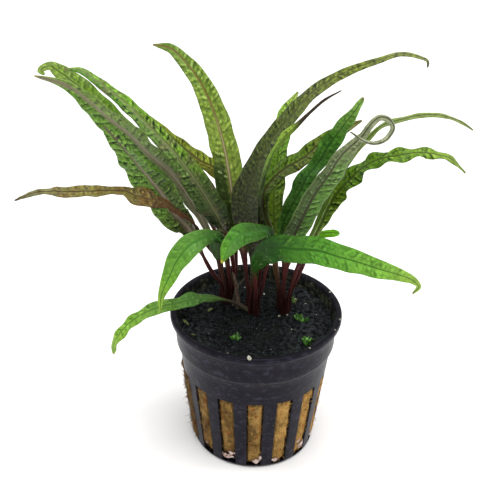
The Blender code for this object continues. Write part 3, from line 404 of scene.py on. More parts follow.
# Crumbs on the rim and on the soil, as x, y and size
RIM_CRUMBS = (
    (-1.3, -27.3, 0.75), (16.9, -21.1, 0.28), (25.2, -10.8, 0.3), (27, -4.9, 0.4), (24.4, 10.9, 0.3),
)
SOIL_CRUMBS = (
    (7.6, 1.5, 0.35), (10.2, 1.7, 0.28), (11.6, -5.4, 0.22), (2.6, 14.4, 0.3), (-2.1, -9, 0.2),
    (-8.6, -19.1, 0.22), (17.6, -15.6, 0.55), (13, 12, 0.25), (20, 3, 0.22), (5, -17, 0.16), (-15, -9, 0.18),
    (1.5, -3.5, 0.2), (-18.5, 9.5, 0.22), (16.5, 9.5, 0.26), (-4, 18, 0.24),
)
# Shreds of leaf on the soil: x, y and height above the soil at each end, and the width
SHREDS = (
    (-16, 3.4, 0.5, -14.2, 4.4, 0.7, 1.1), (-23.6, -3.4, 1.9, -21.8, -5.4, 1.0, 0.8),
    (12.4, 9.6, 0.5, 13.6, 11, 1.2, 0.9), (-20.5, -9.4, 0.4, -19.3, -10.6, 0.5, 0.5),
)
# Dry papery skins at the foot of the slots: angle, height, length and width
PAPER_BITS = (
    (-137.5, 5.8, 2.6, 1.5), (-113.5, 3.6, 4.2, 1.6), (-109.5, 5.4, 2.4, 1.4), (-86, 2.9, 3.0, 1.5),
    (-82.5, 4.6, 1.6, 1.2), (-67.5, 2.6, 3.0, 1.3), (-38.8, 4.6, 3.2, 2.0), (-42.5, 6.8, 1.6, 1.2),
    (-160.5, 4.2, 3.0, 1.5), (-16.5, 3.8, 2.8, 1.3), (8, 3.2, 3.2, 1.4), (55.5, 4.4, 2.4, 1.6),
    (103.5, 3.4, 3.4, 1.3),
)
FLAKE_THICKNESS = 0.08

# Where a look begins and where it is complete, as heights or distances from the middle in metres
DUST_HEIGHTS = (0.012, 0.0)  # dust at the pot's foot
DIRT_HEIGHTS = (0.0505, 0.0485)  # dirt inside the pot
DRY_SIDE = (-0.016, 0.018)  # dry wool, on the right
DUSTY_SIDE = (-0.013, -0.02)  # dusty wool, on the left
DRY_SOIL = (0.007, 0.018)  # on both sides
MOSS_FOOT = (0.0468, 0.0456)  # dark foot of the tufts

# The dirt inside the pot: places along a noise, and the colour there
POT_DIRT = ((0.36, "#0a0b0a"), (0.5, "#191c17"), (0.6, "#3a3d30"), (0.72, "#5a5240"))
# The litter's finishes: roughness, gloss, size and detail of the noise, and places along it with colours
LITTER = {
    "crumb": (0.8, 0.2, 0.4, 3, ((0.35, "#6d6a5c"), (0.6, "#b8b6a8"))),
    "shred": (0.7, 0.2, 0.6, 3, ((0.35, "#39421c"), (0.62, "#75804a"))),
    "paper": (0.85, 0.15, 1.0, 4, ((0.36, "#5c4438"), (0.5, "#b59a90"), (0.62, "#cdbdb6"))),
}
# Factors that lighten and darken a leaf's spots; LIFT also lightens the painted highlights on the ridges
LIFT = (1.65, 1.65, 1.5)
DIM = (0.45, 0.45, 0.45)

# Stage, in metres but for the floor
GROUND_REACH = 1500.0
GROUND_HEIGHT = -0.2
LAMP_AIM = (0, 0, 0.05)
# Each lamp's place and width, and its power as a share of the key light's
LAMPS = {
    "key": ((0.1, -0.12, 0.93), 0.7, 1.0),
    "right": ((0.7, 0.1, 0.45), 0.4, 0.25),
    "left": ((-0.7, 0.1, 0.45), 0.4, 0.3),
}
# Camera, in degrees: how far it looks down on the rim, and how it then turns
CAMERA_ELEVATION = 34.26
CAMERA_YAW = 0.837
CAMERA_PITCH = 3.2
CAMERA_ROLL = -1.52


class PotLook(PropertyGroup):
    """Looks of the moulded net pot."""

    colour: FloatVectorProperty(
        name="Plastic", description="Colour of the plastic", subtype="COLOR", min=0, max=1,
        default=(0.0055, 0.005, 0.0095),
    )
    roughness: FloatProperty(
        name="Roughness", description="Roughness of the moulded plastic", min=0, max=1, default=0.42,
    )
    edge: FloatProperty(
        name="Edge Rounding", description="Radius of the moulded edges", unit="LENGTH", default=0.00014,
    )


class WoolLook(PropertyGroup):
    """Looks of the mineral wool."""

    pale: FloatVectorProperty(
        name="Pale Wool", description="Colour of the dry fibres", subtype="COLOR", min=0, max=1,
        default=(0.36, 0.215, 0.065),
    )
    dark: FloatVectorProperty(
        name="Damp Wool", description="Colour of the damp fibres", subtype="COLOR", min=0, max=1,
        default=(0.05, 0.027, 0.01),
    )
    density: FloatProperty(
        name="Fibres", description="Fibres on each square metre of wool", default=1500000.0,
    )
    length: FloatProperty(
        name="Fibre Length", description="Length of one fibre", unit="LENGTH", default=0.0036,
    )
    thickness: FloatProperty(
        name="Fibre Thickness", description="Radius of one fibre", unit="LENGTH", default=0.00005,
    )
    seed: IntProperty(name="Seed", description="Another lie of the fibres", default=3)


class SoilLook(PropertyGroup):
    """Looks of the soil and what lies on it."""

    colour: FloatVectorProperty(
        name="Soil", description="Colour of the damp soil", subtype="COLOR", min=0, max=1,
        default=(0.0035, 0.0042, 0.0042),
    )
    density: FloatProperty(
        name="Grains", description="Grains on each square metre of soil", default=1900000.0,
    )
    smallest: FloatProperty(
        name="Smallest Grain", description="Radius of the finest grains", unit="LENGTH", default=0.00016,
    )
    largest: FloatProperty(
        name="Largest Grain", description="Radius of the coarsest grains", unit="LENGTH", default=0.00075,
    )
    seed: IntProperty(name="Seed", description="Another scatter of the grains", default=11)


class MossLook(PropertyGroup):
    """Looks of the green sprouts on the soil."""

    colour: FloatVectorProperty(
        name="Sprouts", description="Colour of the sprouts", subtype="COLOR", min=0, max=1,
        default=(0.065, 0.21, 0.022),
    )
    density: FloatProperty(
        name="Leaflets", description="Leaflets on each square metre of a tuft", default=1500000.0,
    )
    length: FloatProperty(
        name="Leaflet Length", description="Length of one leaflet", unit="LENGTH", default=0.0021,
    )
    seed: IntProperty(name="Seed", description="Another growth of the sprouts", default=5)


class LeafLook(PropertyGroup):
    """Looks shared by every leaf."""

    thickness: FloatProperty(
        name="Blade Thickness", description="Thickness of a blade", unit="LENGTH", default=0.00036,
    )
    relief: FloatProperty(
        name="Relief", description="Strength of the swellings between the veins", default=1.0,
    )
    roughness: FloatProperty(
        name="Roughness", description="Roughness of the waxy skin", min=0, max=1, default=0.4,
    )
    richness: FloatProperty(
        name="Richness", description="How strong the greens are", min=1, max=2, default=1.2,
    )
    share: FloatProperty(
        name="Lightness", description="Scales every colour of the leaves", min=0, max=1, default=0.72,
    )


class StageLook(PropertyGroup):
    """The floor, the lights and the camera."""

    floor: FloatVectorProperty(
        name="Floor", description="Colour of the floor", subtype="COLOR", min=0, max=1,
        default=(0.955, 0.95, 0.94),
    )
    surround: FloatProperty(name="Surround", description="Strength of the light all round", default=0.6)
    key: FloatProperty(
        name="Key Light", description="Power of the large light above", unit="POWER", default=8.0,
    )
    distance: FloatProperty(
        name="Camera Distance", description="From the camera to the pot's rim", unit="LENGTH", default=0.387,
    )
    lens: FloatProperty(
        name="Lens", description="Focal length of the camera", unit="CAMERA", default=88.19,
    )


def linear(colour):
    """A colour as linear red, green and blue; text is read as six hexadecimal digits."""
    if not isinstance(colour, str):
        return tuple(colour)
    parts = [int(colour[k : k + 2], 16) / 255 for k in (1, 3, 5)]
    return tuple(p / 12.92 if p <= 0.04045 else ((p + 0.055) / 1.055) ** 2.4 for p in parts)


def pigment(code):
    """The colour of a surface that shows as code in the stage's strong light."""
    look = bpy.context.scene.plant_leaf
    seen = np.array(linear(code))
    grey = seen.mean()
    return tuple(np.minimum(0.9, look.share * grey * (seen / grey) ** look.richness))


def uneven(x, y, size, seed, waves=7):
    """A smooth uneven field, mostly between -1 and 1, whose lumps are about size across."""
    rng = np.random.default_rng(seed)
    total = np.zeros(np.broadcast(x, y).shape)
    for _ in range(waves):
        turn = rng.uniform(0, TURN)
        length = size * rng.uniform(0.8, 1.9)
        phase = rng.uniform(0, TURN)
        total += np.sin(TURN * (x * math.cos(turn) + y * math.sin(turn)) / length + phase)
    return total / math.sqrt(2 * waves)


def new_piece(name, points, faces, finish, smooth=None):
    """An object with a mesh from points in millimetres, its own material and no transform."""
    mesh = bpy.data.meshes.new(name)
    mesh.from_pydata((np.asarray(points, float) * MM).tolist(), [], faces)
    mesh.materials.append(finish)
    if smooth is not None:
        mesh.shade_smooth()
        mesh.set_sharp_from_angle(angle=math.radians(smooth))
    thing = bpy.data.objects.new(name, mesh)
    bpy.context.scene.collection.objects.link(thing)
    return thing


def give(thing, name, values):
    """A number at each point of a mesh, which its material can read."""
    layer = thing.data.attributes.new(name, "FLOAT", "POINT")
    layer.data.foreach_set("value", np.asarray(values, np.float32).ravel())


def bands(rings, around, flip=False):
    """Faces between rings of points that follow one another, each ring with around points."""
    faces = []
    for low in range(0, (rings - 1) * around, around):
        for k in range(around):
            after = (k + 1) % around
            face = (low + k, low + after, low + around + after, low + around + k)
            faces.append(face[::-1] if flip else face)
    return faces


class Finish:
    """A material in the making. Its colour is laid on in layers; other methods give back an output."""

    def __init__(self, name, roughness, specular=0.5):
        self.material = bpy.data.materials.new(name)
        self.material.use_nodes = True
        self.tree = self.material.node_tree
        self.shader = self.tree.nodes["Principled BSDF"]
        self.shader.inputs["Roughness"].default_value = roughness
        self.shader.inputs["Specular IOR Level"].default_value = specular
        self.place = self.node("ShaderNodeTexCoord").outputs["Object"]
        self.colour = None

    def node(self, kind, feeds=None, **settings):
        made = self.tree.nodes.new(kind)
        for name, value in settings.items():
            setattr(made, name, value)
        for key, value in (feeds or {}).items():
            self.feed(made.inputs[key], value)
        return made

    def feed(self, socket, value):
        """Links a socket to an output, or sets it to a number, a vector or a colour."""
        if isinstance(value, bpy.types.NodeSocket):
            self.tree.links.new(value, socket)
        elif socket.type == "RGBA":
            socket.default_value = (*linear(value), 1.0)
        else:
            socket.default_value = value

    def attribute(self, name):
        """A number that give has put at the points of the piece."""
        return self.node("ShaderNodeAttribute", attribute_name=name).outputs["Fac"]

    def axis(self, name, vector=None):
        return self.node("ShaderNodeSeparateXYZ", {0: vector or self.place}).outputs[name]

    def math(self, operation, a, b=0.0):
        return self.node("ShaderNodeMath", {0: a, 1: b}, operation=operation).outputs[0]

    def times(self, a, b):
        return self.math("MULTIPLY", a, b)

    def centred(self, value, scale):
        """A noise about nought, from -scale / 2 to scale / 2."""
        return self.times(self.math("SUBTRACT", value, 0.5), scale)

    def between(self, value, start, end, low=0.0, high=1.0):
        """low where value is start or less, high where it is end or more, and smooth between."""
        feeds = {"Value": value, "From Min": start, "From Max": end, "To Min": low, "To Max": high}
        made = self.node("ShaderNodeMapRange", feeds, interpolation_type="SMOOTHSTEP")
        return made.outputs["Result"]

    def mix(self, share, a, b, kind="MIX"):
        """The colour a where share is 0 and b where it is 1."""
        made = self.node("ShaderNodeMix", data_type="RGBA", blend_type=kind)
        for socket, value in (("Factor", share), (6, a), (7, b)):
            self.feed(made.inputs[socket], value)
        return made.outputs[2]

    def cover(self, share, colour, kind="MIX"):
        """Lays a colour over those before it."""
        self.colour = self.mix(share, self.colour, colour, kind)

    def lay(self, value, start, end, most, colour, kind="MIX"):
        """Lays a colour over those before it: none where value is start, and the share most at end."""
        self.cover(self.between(value, start, end, 0.0, most), colour, kind)

    def noise(self, size, detail=3.0, stretch=(1, 1, 1), roughness=0.5, place=None):
        """Fractal noise with lumps about size millimetres across; place is in millimetres where given."""
        scale = 1 / (size if place else size * MM)
        place = self.node("ShaderNodeMapping", {"Vector": place or self.place, "Scale": stretch}).outputs[0]
        feeds = {"Vector": place, "Scale": scale, "Detail": detail, "Roughness": roughness}
        return self.node("ShaderNodeTexNoise", feeds).outputs["Fac"]

    def specks(self, size, start, end, patch, most, colour):
        """Lays small round specks over the colour in patches: a noise and where on it they begin and end."""
        cells = self.node("ShaderNodeTexVoronoi", {"Vector": self.place, "Scale": 1 / (size * MM)})
        dots = self.between(cells.outputs["Distance"], start, end)
        self.cover(self.times(self.times(dots, self.between(*patch)), most), colour)

    def ramp(self, value, stops):
        """A colour that runs through stops, each a place and a colour."""
        made = self.node("ShaderNodeValToRGB", {"Fac": value})
        band = made.color_ramp
        while len(band.elements) < len(stops):
            band.elements.new(1.0)
        for element, (place, colour) in zip(band.elements, stops):
            element.position = place
            element.color = (*linear(colour), 1.0)
        return made.outputs["Color"]

    def bump(self, height, depth, strength=1.0):
        """Bends the shading by a height field that is depth millimetres deep."""
        made = self.node("ShaderNodeBump", {"Height": height, "Distance": depth * MM, "Strength": strength})
        before = self.shader.inputs["Normal"].links
        if before:
            self.feed(made.inputs["Normal"], before[0].from_socket)
        self.feed(self.shader.inputs["Normal"], made.outputs["Normal"])

    def done(self, roughness=None):
        """Gives the shader its colour, and the material back."""
        self.feed(self.shader.inputs["Base Color"], self.colour)
        if roughness is not None:
            self.feed(self.shader.inputs["Roughness"], roughness)
        return self.material


class Scatter:
    """A geometry node group that scatters shapes over a mesh, with named inputs."""

    def __init__(self, name, *numbers, where=None):
        """numbers are inputs besides Density, Seed and Material; where is the attribute to stay on."""
        self.tree = bpy.data.node_groups.new(name, "GeometryNodeTree")
        kinds = {"Geometry": "Geometry", "Density": "Float", **dict.fromkeys(numbers, "Float")}
        for label, kind in {**kinds, "Seed": "Int", "Material": "Material"}.items():
            self.tree.interface.new_socket(label, in_out="INPUT", socket_type="NodeSocket" + kind)
        self.tree.interface.new_socket("Geometry", in_out="OUTPUT", socket_type="NodeSocketGeometry")
        self.given = self.tree.nodes.new("NodeGroupInput").outputs
        feeds = {"Mesh": self.given["Geometry"], "Density": self.given["Density"], "Seed": self.given["Seed"]}
        if where:
            held = self.add("GeometryNodeInputNamedAttribute", {"Name": where}, data_type="FLOAT")
            feeds["Selection"] = held.outputs[0]
        self.points = self.add("GeometryNodeDistributePointsOnFaces", feeds)

    def add(self, kind, feeds=None, **settings):
        made = self.tree.nodes.new(kind)
        for label, value in settings.items():
            setattr(made, label, value)
        for key, value in (feeds or {}).items():
            if isinstance(value, bpy.types.NodeSocket):
                self.tree.links.new(value, made.inputs[key])
            else:
                made.inputs[key].default_value = value
        return made

    def vector(self, operation, vector, feeds):
        return self.add("ShaderNodeVectorMath", {0: vector, **feeds}, operation=operation).outputs[0]

    def random(self, low, high, seed=None):
        """Something random for each copy: a vector where low and high are, or else a number."""
        feeds = {"Seed": self.given["Seed"] if seed is None else seed}
        if isinstance(low, tuple):
            feeds.update(Min=low, Max=high)
            return self.add("FunctionNodeRandomValue", feeds, data_type="FLOAT_VECTOR").outputs[0]
        return self.add("FunctionNodeRandomValue", {2: low, 3: high, **feeds}, data_type="FLOAT").outputs[1]

    def sized(self, low, high):
        """A random share, from low to high, of the input Length."""
        feeds = {0: self.random(low, high), 1: self.given["Length"]}
        return self.add("ShaderNodeMath", feeds, operation="MULTIPLY").outputs[0]

    def stood(self, normal, low, high):
        """A turn that stands a shape along a direction and then spins it at random."""
        upright = self.add("FunctionNodeAlignEulerToVector", {"Vector": normal}, axis="Z")
        feeds = {"Rotation": upright.outputs[0], "Rotate By": self.random(low, high)}
        return self.add("FunctionNodeRotateEuler", feeds, rotation_type="EULER", space="LOCAL").outputs[0]

    def copies(self, shape, turn, scale):
        feeds = {"Points": self.points.outputs[0], "Instance": shape, "Rotation": turn, "Scale": scale}
        return self.add("GeometryNodeInstanceOnPoints", feeds).outputs[0]

    def end(self, geometry):
        """Makes real copies, gives them their material and hands them out."""
        real = self.add("GeometryNodeRealizeInstances", {"Geometry": geometry})
        feeds = {"Geometry": real.outputs[0], "Material": self.given["Material"]}
        end = self.tree.nodes.new("NodeGroupOutput")
        self.tree.links.new(self.add("GeometryNodeSetMaterial", feeds).outputs[0], end.inputs[0])
        return self.tree


def grow(name, base, tree, values):
    """A new plain mesh object: what a geometry node group makes of another object's mesh."""
    carrier = bpy.data.objects.new(name + "_carrier", base.data.copy())
    bpy.context.scene.collection.objects.link(carrier)
    modifier = carrier.modifiers.new("grow", "NODES")
    modifier.node_group = tree
    for item in tree.interface.items_tree:
        if item.in_out == "INPUT" and item.name in values:
            modifier[item.identifier] = values[item.name]
    graph = bpy.context.evaluated_depsgraph_get()
    mesh = bpy.data.meshes.new_from_object(carrier.evaluated_get(graph))
    mesh.name = name
    bpy.data.objects.remove(carrier)
    thing = bpy.data.objects.new(name, mesh)
    bpy.context.scene.collection.objects.link(thing)
    return thing


def settle(thing, slot, *nodes):
    """Fixes a piece to the one body of the part and hides the solids it stands for. slot is not used."""
    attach(thing, "root")
    if nodes:
        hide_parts(*nodes)


# Net pot


def wall_radius(height):
    """Outer radius of the slotted wall at a height."""
    share = (height - FOOT_ROUND) / (STEP_HEIGHT - FOOT_ROUND)
    return FOOT_RADIUS + (WALL_TOP_RADIUS - FOOT_RADIUS) * share


def slot_angle(k):
    """Direction of the middle of slot k, in degrees from +X."""
    return FIRST_SLOT + 360 * k / SLOT_COUNT


def arc(centre, radius, start, end, steps):
    """Rows of the pot's section along an arc, its angles in degrees."""
    turns = np.radians(np.linspace(start, end, steps))
    return [(centre[0] + radius * math.cos(t), centre[1] + radius * math.sin(t), False) for t in turns]


def pot_section():
    """The pot's section from the middle of its underside round to the middle of its floor.

    Each row is a radius, a height and whether the stretch up to the next row is open in a slot.
    """
    lip = POT_HEIGHT - LIP_HEIGHT
    # the underside and the rounded foot
    rows = [(0.0, 0.0, False), (FLOOR_SLOT_INNER, 0.0, True), (FLOOR_SLOT_OUTER, 0.0, False)]
    rows += [(FOOT_RADIUS - FOOT_ROUND, 0.0, False)]
    rows += [(FOOT_RADIUS - 0.3, 0.35, False), (FOOT_RADIUS - 0.12, FOOT_RING_HEIGHT, True)]
    rows += [(wall_radius(z), z, True) for z in np.linspace(FOOT_ROUND, SLOT_TOP, 9)[:-1]]
    rows += [(wall_radius(z), z, False) for z in (SLOT_TOP, 32, 35, STEP_HEIGHT - 1.2)]
    # the step and the collar
    rows += [(wall_radius(STEP_HEIGHT) + 0.1, STEP_HEIGHT - 0.7, False)]
    rows += [(COLLAR_RADIUS - 0.55, STEP_HEIGHT - 0.25, False)]
    rows += [(COLLAR_RADIUS - 0.1, STEP_HEIGHT + 0.15, False)]
    rows += [(COLLAR_RADIUS, STEP_HEIGHT + 0.7, False), (COLLAR_RADIUS + 0.2, 43.5, False)]
    rows += [(COLLAR_TOP_RADIUS, lip - 0.5, False), (COLLAR_TOP_RADIUS + 0.25, lip - 0.1, False)]
    # the lip, and down the inside
    rows += arc((RIM_RADIUS - LIP_ROUND, lip + LIP_ROUND), LIP_ROUND, -80, 0, 4)
    rows += arc((RIM_RADIUS - RIM_ROUND, POT_HEIGHT - RIM_ROUND), RIM_ROUND, 0, 90, 5)
    inner = COLLAR_TOP_RADIUS - 0.3
    rows += arc((inner + INNER_ROUND, POT_HEIGHT - INNER_ROUND), INNER_ROUND, 90, 180, 4)
    rows += [(COLLAR_TOP_RADIUS - WALL, lip, False), (COLLAR_RADIUS - WALL, STEP_HEIGHT + 0.6, False)]
    rows += [(wall_radius(STEP_HEIGHT) - WALL, STEP_HEIGHT - 0.4, False)]
    rows += [(wall_radius(z) - WALL, z, True) for z in (SLOT_TOP, 20, 10, FLOOR + 1)]
    rows += [(wall_radius(FLOOR) - WALL - FLOOR_CORNER, FLOOR, True), (FLOOR_SLOT_INNER, FLOOR, False)]
    rows += [(0.0, FLOOR, False)]
    return rows


def pot_mesh():
    """Points and faces of the pot, whose fifteen slots run down the wall and under the floor.

    A last number for each point says whether it lies inside the pot.
    """
    rows = pot_section()
    count = len(rows)
    lip_top = max(range(count), key=lambda j: rows[j][1])
    bar = 360 / SLOT_COUNT - 2 * SLOT_HALF_ANGLE
    offsets = [2 * SLOT_HALF_ANGLE * k / SLOT_COLUMNS for k in range(SLOT_COLUMNS)]
    offsets += [2 * SLOT_HALF_ANGLE + bar * k / BAR_COLUMNS for k in range(BAR_COLUMNS)]
    per_slot = len(offsets)
    columns = per_slot * SLOT_COUNT
    ring = [*rows, (FLOOR_SLOT_OUTER, FOOT_RING_HEIGHT, False)]
    points = []
    inside = []
    for k in range(columns):
        turn = math.radians(slot_angle(k // per_slot) - SLOT_HALF_ANGLE + offsets[k % per_slot])
        points += [(r * math.cos(turn), r * math.sin(turn), z) for r, z, _ in ring]
        inside += [1.0 if j > lip_top + 2 else 0.0 for j in range(count)] + [0.0]
    stride = count + 1
    corner = count
    is_open = [row[2] for row in rows]
    floor_in = is_open.index(True)
    floor_out = floor_in + 1
    ring_top = is_open.index(True, floor_out)
    slot_top = is_open.index(False, ring_top)
    inner_top = is_open.index(True, slot_top)
    floor_top = is_open.index(False, inner_top)
    closers = [(floor_in, floor_top), (corner, floor_out), (ring_top, corner), (inner_top, slot_top)]
    side = list(range(ring_top, slot_top + 1)) + list(range(inner_top, floor_top + 1))
    side += [floor_in, floor_out, corner]
    faces = []
    for k in range(columns):
        here = k * stride
        after = ((k + 1) % columns) * stride
        in_slot = k % per_slot < SLOT_COLUMNS
        pairs = [(j, j + 1) for j in range(count - 1) if not (in_slot and is_open[j])]
        if in_slot:
            pairs += closers
        faces += [(here + a, after + a, after + b, here + b) for a, b in pairs]
        if k % per_slot == 0:
            faces.append([here + j for j in side])
        if k % per_slot == SLOT_COLUMNS:
            faces.append([here + j for j in reversed(side)])
    return points, faces, inside


def close_mesh(thing):
    """Joins the points that fall together and turns every face outwards."""
    mesh = bmesh.new()
    mesh.from_mesh(thing.data)
    bmesh.ops.remove_doubles(mesh, verts=mesh.verts, dist=1e-6)
    loose = [v for v in mesh.verts if not v.link_faces]
    bmesh.ops.delete(mesh, geom=loose, context="VERTS")
    bmesh.ops.recalc_face_normals(mesh, faces=mesh.faces)
    mesh.to_mesh(thing.data)
    mesh.free()


def pot_finish(look):
    """Nearly black moulded plastic with a violet cast, fine scuffs, dried dirt inside, and painted shade on
    the faces that look up.
    """
    made = Finish("pot_plastic_finish", 0.4, 0.1)
    made.shader.inputs["Sheen Weight"].default_value = 0.03
    made.shader.inputs["Sheen Roughness"].default_value = 0.3
    made.shader.inputs["Specular Tint"].default_value = (0.86, 0.82, 1.0, 1.0)
    height = made.axis("Z")
    cloudy = made.noise(7, 4, (1, 1, 0.5))
    fine = made.noise(0.5, 4)
    worn = made.noise(2.4, 6, (1, 1, 1.6), 0.7)
    scuffs = made.between(made.noise(1.1, 6, (1, 1, 6), 0.65), 0.6, 0.74)
    low = made.math("ADD", made.between(height, *DUST_HEIGHTS), 0.1)
    dust = made.times(made.between(made.noise(2.2, 5), 0.5, 0.72), low)
    made.colour = tuple(look.colour)
    made.lay(cloudy, 0.35, 0.7, 1.0, "#17151d")
    made.lay(worn, 0.5, 0.64, 0.8, "#33313d")
    made.lay(worn, 0.46, 0.34, 0.7, "#0e0d12")
    made.cover(made.times(scuffs, 0.3), "#45424e")
    made.cover(made.times(dust, 0.25), "#3f3b34")
    made.specks(1.7, 0.1, 0.06, (made.noise(6, 2), 0.6, 0.64), 0.6, "#7d7870")
    reach = made.math("ADD", height, made.centred(cloudy, 0.006))
    coat = made.times(made.attribute("inside"), made.between(reach, *DIRT_HEIGHTS))
    made.cover(coat, made.ramp(made.noise(1.6, 5, roughness=0.65), POT_DIRT))
    # painted shade: faces that look up, such as the rim's top and the step's ledge, are darkened
    upward = made.axis("Z", made.node("ShaderNodeNewGeometry").outputs["Normal"])
    made.lay(upward, 0.25, 0.85, 0.6, "#08080a")
    made.bump(cloudy, 0.25, 0.5)
    made.bump(worn, 0.16, 0.7)
    made.bump(fine, 0.02, 0.5)
    matt = made.math("ADD", made.times(fine, 0.5), scuffs)
    return made.done(made.between(matt, 0.1, 1.2, look.roughness - 0.07, look.roughness + 0.25))


class PLANT_OT_net_pot(Operator):
    """Mould the slotted net pot"""

    bl_idname = "plant.net_pot"
    bl_label = "Net Pot"

    def execute(self, context):
        look = context.scene.plant_pot
        points, faces, inside = pot_mesh()
        pot = new_piece("moulded_net_pot", points, faces, pot_finish(look))
        give(pot, "inside", inside)
        close_mesh(pot)
        rounded = pot.modifiers.new("moulded edges", "BEVEL")
        rounded.width = look.edge
        rounded.segments = 2
        rounded.limit_method = "ANGLE"
        rounded.angle_limit = math.radians(40)
        pot.data.shade_smooth()
        pot.data.set_sharp_from_angle(angle=math.radians(50))
        settle(pot, "pot_plastic", "net_pot")
        return {"FINISHED"}


# Wool plug


def inner_radius(height):
    """Inner radius of the pot at a height."""
    inside = [(FLOOR, wall_radius(FLOOR) - WALL - FLOOR_CORNER), (FLOOR + 1, wall_radius(FLOOR + 1) - WALL)]
    inside += [(STEP_HEIGHT - 0.4, wall_radius(STEP_HEIGHT) - WALL)]
    inside += [(STEP_HEIGHT + 0.6, COLLAR_RADIUS - WALL), (POT_HEIGHT - LIP_HEIGHT, COLLAR_TOP_RADIUS - WALL)]
    return np.interp(height, [z for z, _ in inside], [r for _, r in inside])


def wool_radius(degrees, height):
    """Outer radius of the wool, which bulges through the slots and stays behind the bars."""
    slot = np.round((degrees - FIRST_SLOT) * SLOT_COUNT / 360)
    aside = degrees - slot_angle(slot)
    off = np.abs(aside)
    half = WOOL_HALF_ANGLE + 0.35 * uneven(height, 9 * slot, 5, 21)
    in_slot = np.clip((half - off) / 0.9, 0, 1)
    in_slot = in_slot * np.clip((SLOT_TOP - 0.4 - height) / 0.7, 0, 1)
    hollow = PLUG_BOTTOM + HOLLOW * chance(slot, 1, 4) ** 1.5 + 0.25 * aside * (chance(slot, 2, 4) - 0.5)
    in_slot = in_slot * np.clip((height - hollow) / 0.6, 0, 1)
    inside = behind_bars(height)
    middle = np.radians(slot_angle(slot))
    swell = PLUG_SWELL * np.maximum(0, np.cos(middle - math.radians(PLUG_SWELL_SIDE))) ** 4
    crown = 0.5 * (off / SLOT_HALF_ANGLE) ** 4
    lumps = 0.2 * uneven(height, 0.4 * degrees, 5, 22) + 0.1 * uneven(height, 0.4 * degrees, 1.6, 23)
    outside = np.maximum(wall_radius(height) - 0.4 - crown + swell + lumps, inside)
    return inside + in_slot * (outside - inside)


def behind_bars(height):
    """Radius of the wool where it stays inside the wall."""
    return np.minimum(inner_radius(height), wall_radius(STEP_HEIGHT) - WALL) - PLUG_GAP


def wool_mesh():
    """Points and faces of the wool plug, and how far each point stands out in a slot."""
    columns = WOOL_COLUMNS
    slotted = np.arange(PLUG_BOTTOM, SLOT_TOP + 1, WOOL_STEP)
    heights = np.concatenate([slotted, np.linspace(SLOT_TOP + 1.5, PLUG_TOP, 6)])
    degrees = FIRST_SLOT - 180 / SLOT_COUNT + np.arange(columns) * 360 / columns
    turns, levels = np.meshgrid(np.radians(degrees), heights)
    radius = wool_radius(np.degrees(turns), levels)
    points = np.stack([radius * np.cos(turns), radius * np.sin(turns), levels], -1).reshape(-1, 3)
    points = np.vstack([points, (0, 0, heights[0]), (0, 0, heights[-1])])
    out = np.concatenate([(radius - behind_bars(levels)).ravel(), (0, 0)])
    faces = bands(len(heights), columns)
    top = (len(heights) - 1) * columns
    for k in range(columns):
        after = (k + 1) % columns
        faces += [(len(points) - 2, after, k), (len(points) - 1, top + k, top + after)]
    return points, faces, out


def wool_finish(name, look, lift, plug=False):
    """Brown fibrous wool, golden where it is dry, grey where it is dusty, and laid nearly black with painted
    shade where it stays behind the bars and deep in the slots.
    """
    made = Finish(name, 0.9, 0.1)
    broad = made.noise(4, 3, (1, 1, 0.5))
    blots = made.noise(1.6, 4, (1, 1, 0.7), 0.6)
    streaks = made.noise(0.7, 5, (1, 1, 0.35), 0.7)
    side = made.axis("X")
    dry = made.math("ADD", broad, made.between(side, *DRY_SIDE, -0.1, 0.3))
    pale = np.array(look.pale)
    dark = np.array(look.dark)
    made.colour = made.ramp(made.math("ADD", made.times(dry, 0.6), made.times(streaks, 0.5)), (
        (0.36, dark), (0.5, 0.45 * pale + 0.55 * dark), (0.62, pale), (0.78, np.minimum(1, lift * pale)),
    ))
    made.lay(blots, 0.52, 0.66, 0.6, "#94541f")
    made.lay(blots, 0.43, 0.3, 0.45, "#4a3018")
    dusty = made.between(side, *DUSTY_SIDE, 0.0, 0.5)
    made.cover(made.times(dusty, made.between(streaks, 0.45, 0.6)), "#6c6258")
    # painted shade: the wool that does not show through a slot is laid nearly black
    if plug:
        made.lay(made.attribute("shows"), 0.45, 0.0, 0.9, "#0d0a07")
    made.bump(streaks, 0.6, 0.9)
    made.bump(made.noise(0.25, 3, (1, 1, 0.4)), 0.15, 0.7)
    return made.done()


def fibre_tree():
    """Curled fibres scattered over the wool that shows in the slots."""
    tree = Scatter("curled_fibres", "Length", "Radius", where="shows")
    ends = {"Start": (-0.5, 0, 0), "End": (0.5, 0, 0)}
    line = tree.add("GeometryNodeCurvePrimitiveLine", ends, mode="POINTS")
    fine = tree.add("GeometryNodeResampleCurve", {"Curve": line.outputs[0], "Count": 6})
    turn = tree.stood(tree.points.outputs["Normal"], (0, -0.35, -3.14), (0, 0.35, 3.14))
    copies = tree.copies(fine.outputs[0], turn, tree.sized(0.45, 1.25))
    real = tree.add("GeometryNodeRealizeInstances", {"Geometry": copies})
    place = tree.add("GeometryNodeInputPosition")
    noise = tree.add("ShaderNodeTexNoise", {"Vector": place.outputs[0], "Scale": 900.0, "Detail": 2.0})
    centred = tree.vector("SUBTRACT", noise.outputs["Color"], {1: (0.5, 0.5, 0.5)})
    bend = tree.vector("SCALE", centred, {"Scale": 0.0011})
    curled = tree.add("GeometryNodeSetPosition", {"Geometry": real.outputs[0], "Offset": bend})
    circle = tree.add("GeometryNodeCurvePrimitiveCircle", {"Resolution": 3, "Radius": tree.given["Radius"]})
    tubes = tree.add("GeometryNodeCurveToMesh", {
        "Curve": curled.outputs[0], "Profile Curve": circle.outputs[0], "Fill Caps": True,
    })
    return tree.end(tubes.outputs[0])


